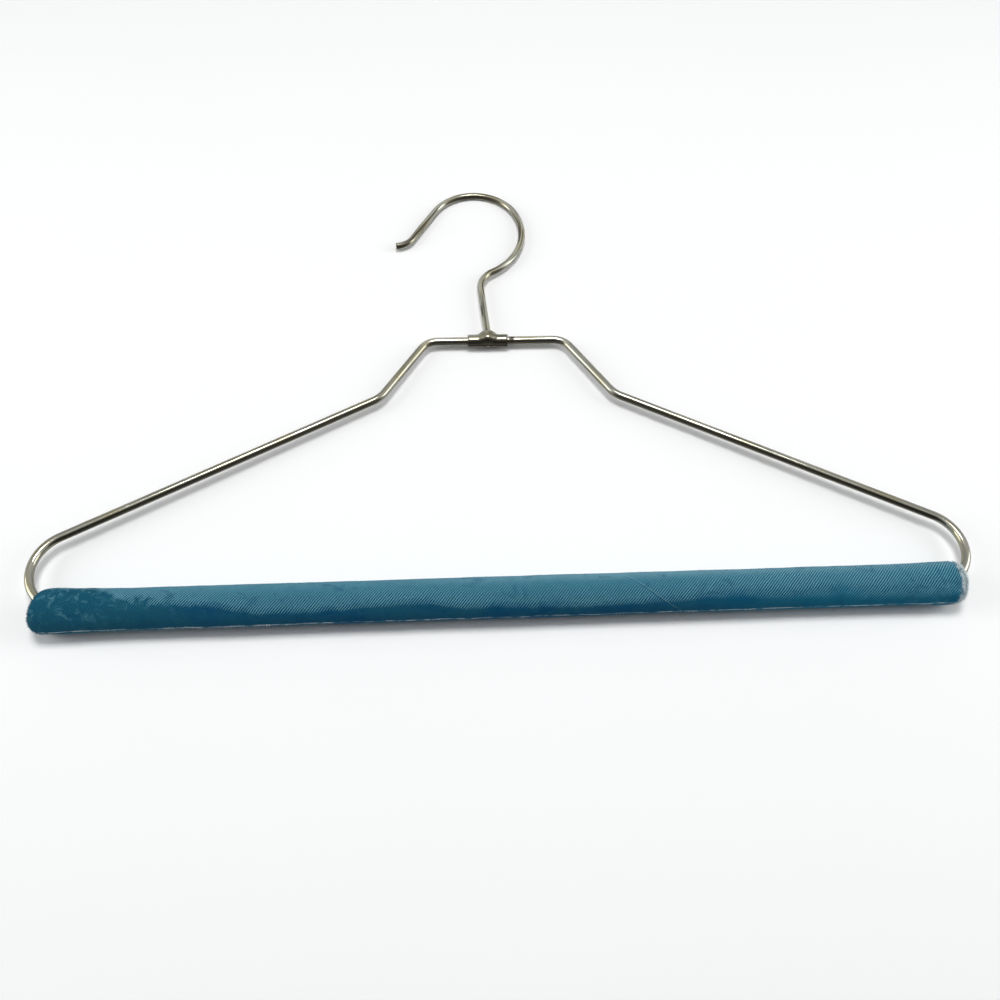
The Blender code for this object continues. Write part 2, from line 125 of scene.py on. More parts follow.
class HangerWire(bpy.types.PropertyGroup):
    """Sizes of the closed wire loop."""
    top_run: length("Top run", "Length of the short level run that carries the collar", 69.0 * MM)
    steep_height: length("Steep height", "Drop from the top run to the elbows", 34.7 * MM)
    steep_angle: turn("Steep angle", "Slope of the neck below the top run", 56.7)
    neck_bend: length("Neck bend", "Bend radius at the ends of the top run", 10.0 * MM)
    elbow_bend: length("Elbow bend", "Bend radius where neck and slope meet", 14.0 * MM)
    shoulder_bend: length("Shoulder bend", "Bend radius at the outer ends", 18.7 * MM)
    bead_rise: length("Weld bead", "How far the butt weld stands proud, inside the bar", 0.5 * MM)
    sides: IntProperty(name="Sides", description="Facets round the wire", default=32, min=8)


class HangerHook(bpy.types.PropertyGroup):
    """Sizes of the swivel hook, from its head upwards."""
    stem: length("Stem", "Straight length above the collar", 30.0 * MM)
    neck_bend: length("Neck bend", "Radius of the bend above the stem", 12.3 * MM)
    neck_turn: turn("Neck turn", "Turn of the bend above the stem", 65.8)
    flank_bend: length("Flank bend", "Radius of the bow's outer flank", 33.8 * MM)
    flank_turn: turn("Flank turn", "Turn of the bow's outer flank", 85.7)
    crown_bend: length("Crown bend", "Radius of the bow's crown", 25.1 * MM)
    crown_turn: turn("Crown turn", "Turn of the bow's crown", 124.5)
    nose: length("Nose", "Straight length after the crown", 23.8 * MM)
    tip_bend: length("Tip bend", "Radius of the outward tip", 11.1 * MM)
    tip_turn: turn("Tip turn", "Turn of the outward tip", 54.0)
    shear_edge: length("Sheared edge", "Rounding of the cut end", 0.35 * MM)


class HangerCollar(bpy.types.PropertyGroup):
    """Sizes of the folded sheet collar and its boss."""
    length: length("Length", "Length along the top run", 20.2 * MM)
    sheet: length("Sheet", "Thickness of the sheet", 0.8 * MM)
    seam_gap: length("Seam gap", "Opening between the folded edges below", 0.5 * MM)
    run_clearance: length("Run clearance", "Play between the sheet and the wire inside it", 0.4 * MM)
    cone_height: length("Cone height", "Height of the boss's cone", 2.9 * MM)
    cone_angle: turn("Cone angle", "Slope of the cone from the hook's axis", 40.2)
    fillet: length("Fillet", "Breadth of the curve where sleeve and boss meet", 1.2 * MM)
    hole_clearance: length("Hole clearance", "Play round the hook's stem", 0.35 * MM)
    rim_height: length("Head rim", "Height of the head's plain rim", 0.5 * MM)
    seat_clearance: length("Seat clearance", "Play between the hook's head and the cone", 0.3 * MM)
    lip: length("Lip", "How far the ends of the sleeve are drawn in", 0.14 * MM)
    edge: length("Edge", "Rounding of the sheet's cut edges", 0.12 * MM)


class HangerNickel(bpy.types.PropertyGroup):
    """Finish of the aged plating."""
    plate: tint("Plate", "Clean nickel", (0.44, 0.44, 0.375))
    warm: tint("Warm plate", "Thin yellowed nickel", (0.42, 0.395, 0.28))
    # Tarnish also paints the dark reflection on the front and low side of each metal piece
    tarnish: tint("Tarnish", "Brown tarnish in worn places", (0.045, 0.040, 0.029))
    polish: share("Polish", "Roughness of clean plating", 0.11)
    dulled: share("Dulled", "Roughness of tarnished plating", 0.40)


class HangerVelvet(bpy.types.PropertyGroup):
    """Sizes and colours of the velvet cover."""
    radius: length("Radius", "Radius of the padded bar", 9.1 * MM)
    end_rounding: length("End rounding", "Length of the domed ends", 7.8 * MM)
    bar_turn: turn("Bar turn", "How far the bar has turned in the hanger's plane", 0.26)
    left_swell: length("Left swell", "Extra radius at the left end", 0.7 * MM)
    right_swell: length("Right swell", "Extra radius at the right end", 0.4 * MM)
    left_skew: length("Left skew", "How much further in the left end lies at its back", 2.4 * MM)
    swell_length: length("Swell length", "Length over which the ends swell", 45.0 * MM)
    thickness: length("Cover thickness", "Velvet and its backing", 1.0 * MM)
    lap_rise: length("Lap rise", "Height of the lapped edge", 0.5 * MM)
    lap_width: length("Lap width", "Width of the lapped strip", 8.0 * MM)
    seam_turn: turn("Seam", "Place of the lapped edge, from the top of the bar round its front", 89.0)
    gather_depth: length("Gather depth", "Depth of the drawn-in middle of each end", 1.2 * MM)
    row_spacing: length("Row spacing", "Spacing of the pile's slanting rows", 0.95 * MM)
    row_slant: turn("Row slant", "Slant of the rows from the bar", 50.0)
    left_pile: length("Left pile", "Length of the loose pile at the left end", 0.9 * MM)
    right_pile: length("Right pile", "Length of the loose pile at the right end", 1.8 * MM)
    seam_pile: length("Seam pile", "Length of the frayed pile along the lapped edge", 0.9 * MM)
    # Brushed, plain and deep run from the top of the bar round its front: nap, with painted light and shade
    # on it
    brushed: tint("Brushed", "Pile that lies away and catches the light", (0.070, 0.215, 0.290))
    plain: tint("Plain", "Pile seen across its lay", (0.034, 0.145, 0.210))
    deep: tint("Deep", "Pile that lies towards the eye", (0.001, 0.054, 0.128))
    deep_green: tint("Deep green", "Greener stretches of the deep pile", (0.008, 0.080, 0.120))
    frost: tint("Frost", "Pale crushed pile", (0.190, 0.460, 0.540))
    # Tips also serve as painted glow and highlight on the fringes, the tufts and the raw edge
    tips: tint("Tips", "Whitened tips of frayed pile", (0.90, 0.95, 0.95))
    # Silver is painted highlight: along the top, on the left rim and on the crease's lip
    silver_highlight: tint("Silver", "Pile brushed flat along the top", (0.260, 0.450, 0.510))
    teal: tint("Teal", "Lighter deep pile on the right", (0.004, 0.108, 0.190))
    sheen: tint("Sheen", "Tint of the pile's edge light", (0.30, 0.66, 0.78))


class HangerFilling(bpy.types.PropertyGroup):
    """Sizes and colours of what is inside the bar."""
    layer_gap: length("Layer gap", "Play between the layers", 0.3 * MM)
    fibre: tint("Fibre", "White polyester fibre", (0.82, 0.81, 0.78))
    wood: tint("Wood", "Plain softwood", (0.62, 0.47, 0.30))
    grain: tint("Grain", "Darker year rings", (0.42, 0.28, 0.15))


class HangerStage(bpy.types.PropertyGroup):
    """Camera, table and lamps."""
    aim: FloatVectorProperty(name="Aim", description="Point on the table that the camera looks at",
                             default=(-1.0 * MM, -66.6 * MM, 0.0), size=3, subtype="TRANSLATION")
    distance: length("Distance", "Distance of the camera from its aim", 447.6 * MM)
    elevation: turn("Elevation", "Height of the camera above the table", 60.81)
    azimuth: turn("Azimuth", "Camera's turn round the hanger, to the left", 4.46)
    roll: turn("Roll", "Tilt of the picture", 2.52)
    lens: length("Lens", "Focal length", 34.56 * MM)
    sensor: length("Sensor", "Width of the picture behind the lens", 36.0 * MM)
    table: tint("Table", "Colour of the table", (0.955, 0.96, 0.96))
    sky: FloatProperty(name="Fill", description="Strength of the even light from all round", default=0.22)


def settings():
    """All values that a user can change, by group."""
    return bpy.context.scene.hanger


class HangerSettings(bpy.types.PropertyGroup):
    """Everything that a user can change."""
    wire: PointerProperty(type=HangerWire)
    hook: PointerProperty(type=HangerHook)
    collar: PointerProperty(type=HangerCollar)
    nickel: PointerProperty(type=HangerNickel)
    velvet: PointerProperty(type=HangerVelvet)
    filling: PointerProperty(type=HangerFilling)
    stage: PointerProperty(type=HangerStage)


# Meshes

def smoothstep(low, high, value):
    """0 below low, 1 above high, and smooth between them."""
    part = np.clip((value - low) / (high - low), 0.0, 1.0)
    return part * part * (3.0 - 2.0 * part)


def wander(x, y, z=0.0):
    """Smooth noise from -1 to 1 at each pair of coordinates."""
    shape = np.broadcast(x, y).shape
    pairs = zip(np.broadcast_to(x, shape).ravel(), np.broadcast_to(y, shape).ravel())
    return np.array([noise.noise((a, b, z)) for a, b in pairs]).reshape(shape) * 2.0


class Skin:
    """Points and faces of one piece, with the surface coordinates of each corner.

    Heights, where a piece has them, say for each corner how far up its tuft it is and how white its painted
    glow.
    """

    def __init__(self):
        self.points = []
        self.faces = []
        self.corners = []
        self.heights = []

    def rings(self, rings, along, around, closed=False):
        """Join closed rings one to the next. Along and around are the coordinates of rings and sides."""
        base = len(self.points)
        count, sides = rings.shape[:2]
        self.points += rings.reshape(-1, 3).tolist()
        for ring in range(count if closed else count - 1):
            ahead = (ring + 1) % count
            for side in range(sides):
                beside = (side + 1) % sides
                self.faces.append((base + ring * sides + side, base + ring * sides + beside,
                                   base + ahead * sides + beside, base + ahead * sides + side))
                self.corners += [(along[ring], around[side]), (along[ring], around[side + 1]),
                                 (along[ring + 1], around[side + 1]), (along[ring + 1], around[side])]
        return base

    def cap(self, first, sides, place, backwards):
        """Close one end with a fan about its middle."""
        ring = self.points[first:first + sides]
        self.points.append(np.mean(ring, axis=0).tolist())
        for side in range(sides):
            fan = (first + side, first + (side + 1) % sides, len(self.points) - 1)
            self.faces.append(fan[::-1] if backwards else fan)
            self.corners += [place] * 3

    def tube(self, rings, along, around):
        """Join open-ended rings one to the next, and close both ends."""
        first = self.rings(rings, along, around)
        count, sides = rings.shape[:2]
        self.cap(first, sides, (along[0], 0.0), False)
        self.cap(first + (count - 1) * sides, sides, (along[-1], 0.0), True)

    def make(self, name):
        """Make the object."""
        mesh = bpy.data.meshes.new(name)
        mesh.from_pydata(self.points, [], self.faces)
        layers = {"surface": self.corners, "pile": self.heights}
        for layer, values in layers.items():
            if values:
                made = mesh.uv_layers.new(name=layer)
                made.data.foreach_set("uv", np.array(values, np.float32).ravel())
        mesh.validate()
        return link(name, mesh)


def link(name, data):
    """Put an object with this data into the scene."""
    piece = bpy.data.objects.new(name, data)
    bpy.context.scene.collection.objects.link(piece)
    return piece


def flat_piece(name, corners):
    """A flat piece with four corners."""
    mesh = bpy.data.meshes.new(name)
    mesh.from_pydata(corners, [], [(0, 1, 2, 3)])
    return link(name, mesh)


def bake(piece):
    """Replace a piece's mesh by what its modifiers make of it."""
    bpy.context.view_layer.update()
    seen = piece.evaluated_get(bpy.context.evaluated_depsgraph_get())
    mesh = bpy.data.meshes.new_from_object(seen)
    mesh.name = piece.name
    piece.modifiers.clear()
    piece.data = mesh


def cut(piece, tool):
    """Cut a piece with a tool, and delete the tool."""
    change = piece.modifiers.new("Cut", "BOOLEAN")
    change.operation = "DIFFERENCE"
    change.solver = "EXACT"
    change.object = tool
    bake(piece)
    bpy.data.objects.remove(tool, do_unlink=True)


def dress(piece, material, body, sharp_turn=math.radians(50)):
    """Give a piece its material and shading, and the body that it moves with."""
    piece.data.materials.clear()
    piece.data.materials.append(material)
    piece.data.shade_smooth()
    piece.data.set_sharp_from_angle(angle=sharp_turn)
    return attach(piece, body)


def in_plane(points):
    """World places of points given in the hanger's plane, measured from the top run's axis."""
    points = np.atleast_2d(points)
    return np.array(TOP_RUN) + points[:, :1] * PLANE_X + points[:, 1:2] * PLANE_Y


def sweep(skin, path, radii, sides, closed=False):
    """Sweep a round section along a path in the hanger's plane."""
    path = np.asarray(path, float)
    if closed:
        ahead = np.roll(path, -1, axis=0) - np.roll(path, 1, axis=0)
        steps = np.linalg.norm(np.roll(path, -1, axis=0) - path, axis=1)
    else:
        ahead = np.gradient(path, axis=0)
        steps = np.linalg.norm(np.diff(path, axis=0), axis=1)
    ahead /= np.linalg.norm(ahead, axis=1)[:, None]
    beside = ahead[:, 1:2] * PLANE_X - ahead[:, :1] * PLANE_Y
    turns = np.arange(sides) * 2 * math.pi / sides
    radii = np.asarray(radii, float)[:, None, None]
    spokes = beside[:, None] * np.cos(turns)[None, :, None] + PLANE_Z * np.sin(turns)[None, :, None]
    rings = in_plane(path)[:, None] + spokes * radii
    along = np.concatenate(([0.0], np.cumsum(steps)))
    around = np.arange(sides + 1) * 2 * math.pi / sides * float(np.median(radii))
    if closed:
        skin.rings(rings, along, around, closed)
    else:
        skin.tube(rings, along, around)


# Wire paths

BEND_STEP = math.radians(2.5)
STRAIGHT_STEP = 6.0 * MM
BEAD_SPREAD = 1.2 * MM


def straight(start, end):
    """Points of a straight length, without its end."""
    count = max(1, round(float(np.linalg.norm(end - start)) / STRAIGHT_STEP))
    return [start + (end - start) * step / count for step in range(count)]


def loop_path():
    """Centreline of the closed wire loop, from the left end of the top run's bend onwards."""
    sizes = settings().wire
    neck = sizes.top_run / 2
    elbow = np.array((neck + sizes.steep_height / math.tan(sizes.steep_angle), -sizes.steep_height))
    bend = np.array((FRAME_WIDTH / 2 - WIRE_RADIUS - sizes.shoulder_bend, sizes.shoulder_bend - FRAME_HEIGHT))
    reach = bend - elbow
    slope = math.atan2(-reach[1], reach[0]) - math.asin(sizes.shoulder_bend / np.linalg.norm(reach))
    foot = np.array((elbow[0] + (FRAME_HEIGHT - sizes.steep_height) / math.tan(slope), -FRAME_HEIGHT))
    right = [np.array((neck, 0.0)), elbow, foot]
    corners = right + [corner * (-1, 1) for corner in reversed(right)]
    radii = [sizes.neck_bend, sizes.elbow_bend, sizes.shoulder_bend]
    path = []
    for index, (corner, radius) in enumerate(zip(corners, radii + radii[::-1])):
        back = corners[index - 1] - corner
        ahead = corners[(index + 1) % len(corners)] - corner
        back /= np.linalg.norm(back)
        ahead /= np.linalg.norm(ahead)
        half = math.acos(float(back @ ahead)) / 2
        middle = back + ahead
        centre = corner + middle / np.linalg.norm(middle) * radius / math.sin(half)
        start = corner + back * radius / math.tan(half) - centre
        end = corner + ahead * radius / math.tan(half) - centre
        arc = math.pi - 2 * half
        parts = math.ceil(arc / BEND_STEP)
        bent = [centre + (start * math.sin((1 - part / parts) * arc) + end * math.sin(part / parts * arc))
                / math.sin(arc) for part in range(parts + 1)]
        if path:
            path += straight(path.pop(), bent[0])
        path += bent
    path += straight(path.pop(), path[0])
    return np.array(path)


def loop_skin(clearance=0.0):
    """The wire loop's skin, or with a clearance the channel that it lies in."""
    path = loop_path()
    low = path[:, 1] < WIRE_RADIUS - FRAME_HEIGHT
    bead = settings().wire.bead_rise * np.exp(-(path[:, 0] / BEAD_SPREAD) ** 2) * low
    skin = Skin()
    sweep(skin, path, WIRE_RADIUS + clearance + bead, settings().wire.sides, closed=True)
    return skin


def bend_path(start, heading, bends):
    """Centreline of an open wire. Each bend is a radius and a turn, and a turn of zero is straight."""
    path = [np.array(start, float)]
    for radius, angle in bends:
        if angle == 0:
            end = path[-1] + radius * np.array((math.cos(heading), math.sin(heading)))
            path += straight(path.pop(), end) + [end]
            continue
        parts = math.ceil(abs(angle) / BEND_STEP)
        step = angle / parts
        chord = 2 * radius * math.sin(abs(step) / 2)
        for _ in range(parts):
            aim = heading + step / 2
            path.append(path[-1] + chord * np.array((math.cos(aim), math.sin(aim))))
            heading += step
    return path


# The boss, which collar and hook share

REACH_HALVINGS = 40


def boss_sizes():
    """Radii and heights of the boss, above the axis of the top run."""
    collar = settings().collar
    slope = math.tan(collar.cone_angle)
    radius = HOOK_RADIUS + collar.hole_clearance + collar.cone_height * slope
    lip = (SWIVEL_POINT - TOP_RUN).dot(Vector(PLANE_Y)) + collar.sheet
    shoulder = lip - collar.cone_height
    return slope, radius, shoulder, lip


def sleeve_radius():
    """Outer radius of the collar's sleeve."""
    return WIRE_RADIUS + settings().collar.run_clearance + settings().collar.sheet


def collar_reach(x, angle, drawn):
    """How far the collar reaches from the run's axis, where sleeve and boss run together in a fillet."""
    slope, radius, shoulder, lip = boss_sizes()
    fillet = settings().collar.fillet
    sleeve = sleeve_radius()
    steep = math.cos(settings().collar.cone_angle)
    near = 0.0
    far = lip + radius
    for _ in range(REACH_HALVINGS):
        middle = (near + far) / 2
        height = middle * math.cos(angle)
        if height < 0:
            width = radius * math.sqrt(max(0.0, 1 - (height / sleeve) ** 2))
        else:
            width = radius - max(0.0, height - shoulder) * slope
        off_boss = (math.hypot(x, middle * math.sin(angle)) - width) * steep
        off_sleeve = middle - sleeve + drawn
        overlap = max(0.0, 1 - abs(off_sleeve - off_boss) / fillet)
        outside = min(off_sleeve, off_boss) > fillet * overlap * overlap / 4
        near, far = (near, middle) if outside else (middle, far)
    return near


# Materials

class Finish:
    """One procedural material: a Principled shader and the nodes that feed it."""

    def __init__(self, name):
        self.material = bpy.data.materials.new(name)
        self.material.use_nodes = True
        self.tree = self.material.node_tree
        self.tree.nodes.clear()
        output = self.node("ShaderNodeOutputMaterial")
        self.surface = self.node("ShaderNodeBsdfPrincipled")
        self.tree.links.new(self.surface.outputs["BSDF"], output.inputs["Surface"])

    def node(self, kind, **values):
        """Add a node."""
        made = self.tree.nodes.new(kind)
        for name, value in values.items():
            setattr(made, name, value)
        return made

    def feed(self, socket, value):
        """Link a socket, or set its value."""
        if isinstance(value, bpy.types.NodeSocket):
            self.tree.links.new(value, socket)
        elif hasattr(value, "__len__") and len(value) == 3 and socket.type == "RGBA":
            socket.default_value = (*value, 1.0)
        else:
            socket.default_value = value

    def set(self, **values):
        """Set or link sockets of the shader, by their names with underscores for spaces."""
        for name, value in values.items():
            self.feed(self.surface.inputs[name.replace("_", " ")], value)

    def math(self, operation, *values):
        """A sum or another rule on numbers."""
        made = self.node("ShaderNodeMath", operation=operation)
        for socket, value in zip(made.inputs, values):
            self.feed(socket, value)
        return made.outputs[0]

    def product(self, *values):
        """All values multiplied."""
        total = values[0]
        for value in values[1:]:
            total = self.math("MULTIPLY", total, value)
        return total

    def ramp(self, value, low, high, out_low=0.0, out_high=1.0):
        """A smooth step from out_low to out_high."""
        made = self.node("ShaderNodeMapRange", interpolation_type="SMOOTHSTEP")
        for socket, number in zip(made.inputs, (value, low, high, out_low, out_high)):
            self.feed(socket, number)
        return made.outputs["Result"]

    def curve(self, value, points):
        """A smooth line through points, each a value and what it gives."""
        first, last = points[0][0], points[-1][0]
        least = min(result for _, result in points)
        most = max(result for _, result in points)
        made = self.node("ShaderNodeFloatCurve")
        line = made.mapping.curves[0]
        for index, (at, result) in enumerate(points):
            spot = ((at - first) / (last - first), (result - least) / (most - least))
            if index < 2:
                line.points[index].location = spot
            else:
                line.points.new(*spot)
        made.mapping.update()
        place = self.node("ShaderNodeMapRange")
        for socket, number in zip(place.inputs, (value, first, last)):
            self.feed(socket, number)
        self.feed(made.inputs["Value"], place.outputs["Result"])
        return self.math("MULTIPLY_ADD", made.outputs["Value"], most - least, least)

    def band(self, value, middle, inner, outer, most=1.0):
        """A smooth band about a middle: most within inner of it, and nothing beyond outer."""
        return self.ramp(self.math("ABSOLUTE", self.math("SUBTRACT", value, middle)), inner, outer, most, 0.0)

    def mix(self, part, low, high):
        """A blend of two colours."""
        made = self.node("ShaderNodeMix", data_type="RGBA")
        sockets = {socket.identifier: socket for socket in made.inputs}
        self.feed(sockets["Factor_Float"], part)
        self.feed(sockets["A_Color"], low)
        self.feed(sockets["B_Color"], high)
        return next(socket for socket in made.outputs if socket.identifier == "Result_Color")

    def surface_place(self):
        """Coordinates along and around the piece, in millimetres."""
        place = self.node("ShaderNodeUVMap", uv_map="surface")
        return self.scaled(place.outputs["UV"], (1 / MM, 1 / MM, 0))

    def scaled(self, vector, factors):
        """A vector, stretched."""
        made = self.node("ShaderNodeVectorMath", operation="MULTIPLY")
        self.feed(made.inputs[0], vector)
        made.inputs[1].default_value = factors
        return made.outputs["Vector"]

    def parts(self, vector):
        """The first two coordinates as numbers."""
        made = self.node("ShaderNodeSeparateXYZ")
        self.feed(made.inputs[0], vector)
        return made.outputs["X"], made.outputs["Y"]

    def noise(self, vector, pattern):
        """Cloudy noise from 0 to 1: its stretch and detail, and roughness and distortion where given."""
        made = self.node("ShaderNodeTexNoise")
        self.feed(made.inputs["Vector"], self.scaled(vector, pattern[0]))
        made.inputs["Scale"].default_value = 1.0
        for name, value in zip(("Detail", "Roughness", "Distortion"), pattern[1:]):
            made.inputs[name].default_value = value
        return made.outputs["Fac"]

    def bump(self, height, distance, below=None):
        """Fine relief, given in millimetres."""
        made = self.node("ShaderNodeBump")
        made.inputs["Distance"].default_value = distance
        self.feed(made.inputs["Height"], height)
        if below is not None:
            self.feed(made.inputs["Normal"], below)
        return made.outputs["Normal"]


# Noise patterns: cells along and across the piece, then detail, roughness and distortion.
# Cells are per millimetre, and in the wood per metre.
DRAWN_LINES = ((0.05, 2.2, 1), 3.0)
LONG_STREAKS = ((0.030, 0.70, 1), 2.0, 0.6)
YELLOWING = ((0.06, 0.25, 1), 3.0)
BLOTCHES = ((0.22, 0.30, 1), 5.0, 0.65, 0.6)
PITTING = ((0.9, 0.9, 1), 2.0)
DENTS = ((0.12, 0.18, 1), 1.0)
CLOUDS = ((0.045, 0.045, 0.045), 3.0, 0.55)
PATCHES = ((0.11, 0.11, 0.11), 4.0, 0.6, 0.8)
CRUSHED = ((0.24, 0.24, 0.24), 4.0, 0.65, 0.6)
FIBRES = ((2.6, 1.6, 1), 3.0, 0.7)
THREADS = ((0.25, 0.1, 1), 3.0)
MATTED = ((0.6, 1.4, 1), 5.0, 0.7, 1.2)
YEAR_RINGS = ((12, 900, 900), 3.0, 0.5, 0.4)
PORES = ((180, 5200, 5200), 2.0)

# Heights of the relief in the plating
DENT_DEPTH = 0.05 * MM
SCRATCH_DEPTH = 0.008 * MM

# Distances below the top run's axis at which its painted highlight of brighter plating begins and is all
# bright
HIGHLIGHT_BELOW = (5.0 * MM, 2.5 * MM)

# Half widths of the bare place beside the collar: all tarnished, and none
BARE_SPREAD = (0.6 * MM, 2.4 * MM)


def nickel_finish(name, worn, seed, dim, streaks, side, wear_and_highlight=False):
    """Aged nickel plate: drawn lines, yellowed stretches, pits, brown tarnish and a painted dark reflection.

    Worn and streaks say how much tarnish there is in blotches and in long streaks. Side says how much the
    front and low side is painted dark and dull, a painted reflection of the dark room. Seed moves the
    patterns and dim darkens the plate. Where asked, the top run gets a painted highlight, brighter plating,
    but for the bare tarnished place beside the collar.
    """
    colours = settings().nickel
    finish = Finish(name)
    shifted = finish.node("ShaderNodeVectorMath", operation="ADD")
    finish.feed(shifted.inputs[0], finish.surface_place())
    shifted.inputs[1].default_value = (seed, seed, seed)
    place = shifted.outputs["Vector"]
    drawn = finish.noise(place, DRAWN_LINES)
    broad = finish.noise(place, LONG_STREAKS)
    yellowed = finish.ramp(finish.noise(place, YELLOWING), 0.44, 0.62)
    blotch = finish.noise(place, BLOTCHES)
    pits = finish.ramp(finish.noise(place, PITTING), 0.68, 0.76)
    # Painted dark reflection: the front and low side is darkened to tarnish and dulled
    toward_dark_reflection = finish.node("ShaderNodeVectorMath", operation="DOT_PRODUCT")
    finish.feed(toward_dark_reflection.inputs[0], finish.node("ShaderNodeTexCoord").outputs["Normal"])
    toward_dark_reflection.inputs[1].default_value = PAINTED_DARK_SIDE

    tarnish_and_painted_dark = finish.ramp(blotch, 0.70 - worn, 0.86 - worn)
    for part in (finish.math("MULTIPLY", pits, 0.7), finish.ramp(broad, 0.48, 0.58, 0.0, streaks),
                 finish.ramp(toward_dark_reflection.outputs["Value"], 0.72, 0.84, 0.0, side)):
        tarnish_and_painted_dark = finish.math("MAXIMUM", tarnish_and_painted_dark, part)
    plate, warm = (tuple(part * dim for part in metal) for metal in (colours.plate, colours.warm))
    # Painted highlight: undimmed plating along the top run; the bare place beside the collar is real tarnish
    if wear_and_highlight:
        at = finish.node("ShaderNodeTexCoord").outputs["Object"]
        x, y = finish.parts(finish.scaled(at, (1 / MM, 1 / MM, 0)))
        on_top = finish.ramp(y, *((TOP_RUN.y - below) / MM for below in HIGHLIGHT_BELOW))
        plate = finish.mix(on_top, plate, colours.plate)
        warm = finish.mix(on_top, warm, colours.warm)
        bare = finish.band(x, BARE_SPOT / MM, *(spread / MM for spread in BARE_SPREAD))
        spot = finish.product(on_top, bare, finish.ramp(blotch, 0.36, 0.52))
        tarnish_and_painted_dark = finish.math("MAXIMUM", tarnish_and_painted_dark, spot)
    plate = finish.mix(yellowed, plate, warm)
    streaked = finish.mix(finish.ramp(drawn, 0.35, 0.70, 0.0, 0.30), plate, colours.tarnish)
    finish.set(Base_Color=finish.mix(tarnish_and_painted_dark, streaked, colours.tarnish), Metallic=1.0)
    smeared = finish.ramp(drawn, 0.3, 0.7, colours.polish - 0.04, colours.polish + 0.08)
    rough = finish.node("ShaderNodeMix", data_type="FLOAT")
    finish.feed(rough.inputs[0], tarnish_and_painted_dark)
    finish.feed(rough.inputs[2], smeared)
    rough.inputs[3].default_value = colours.dulled
    finish.set(Roughness=rough.outputs[0])
    dented = finish.bump(finish.noise(place, DENTS), DENT_DEPTH)
    scratches = finish.math("ADD", drawn, finish.math("MULTIPLY", pits, -1.5))
    finish.set(Normal=finish.bump(scratches, SCRATCH_DEPTH, dented))
    return finish.material


# The velvet's own places are in millimetres. Along the bar, from its middle to the right:
CRUSHED_END = (-150.0, -120.0)
MOTTLED_END = (-165.0, -140.0)
RIM_HIGHLIGHT_FADE = (-176.0, -160.0)
WORN_LEFT = (-190.0, -130.0)
WORN_RIGHT = (150.0, 195.0)
TOP_HIGHLIGHT_ALONG = (-60.0, 40.0)
SOFTER_TURN = (70.0, 135.0)
LIGHTER_DEEP = (60.0, 150.0)
TEAL_END = (160.0, 194.0)
# Where the painted glow round the right end starts and fades
FRINGE_GLOW_START = (195.8, 198.6)
FRINGE_GLOW_FADE = (199.0, 200.5)

# From the top of the bar round its front:
BACK_SHADE = (-24.0, -15.0)
MOTTLED_BACK = (-15.0, -9.5)
# The painted highlight along the far edge of the left end: its place and spread
RIM_HIGHLIGHT_PLACE = -9.4
RIM_HIGHLIGHT_SPREAD = (0.2, 3.6)
TOP_TO_FRONT = (-8.0, 4.0)
TOP_HIGHLIGHT = (-6.5, -1.5)
MOTTLED_FRONT = (2.0, 12.0)

# Where brushed pile turns deep, and painted light turns to painted shade: places along the bar, each with one
# round the front
NAP_AND_SHADE_EDGE = ((-202, -26), (-190, -18), (-178, -12), (-168, -7), (-159, -3.5), (-128, 1.7), (-86, 5.9),
            (-45, 3.4), (-11, 5.8), (23, 7.0), (57, 6.6), (91, 4.4), (125, 3.4), (161, 4.6), (202, 4.2))

# Heights of the velvet's relief in the material
SOFT_DEPTH = 0.5 * MM
ROW_DEPTH = 0.16 * MM


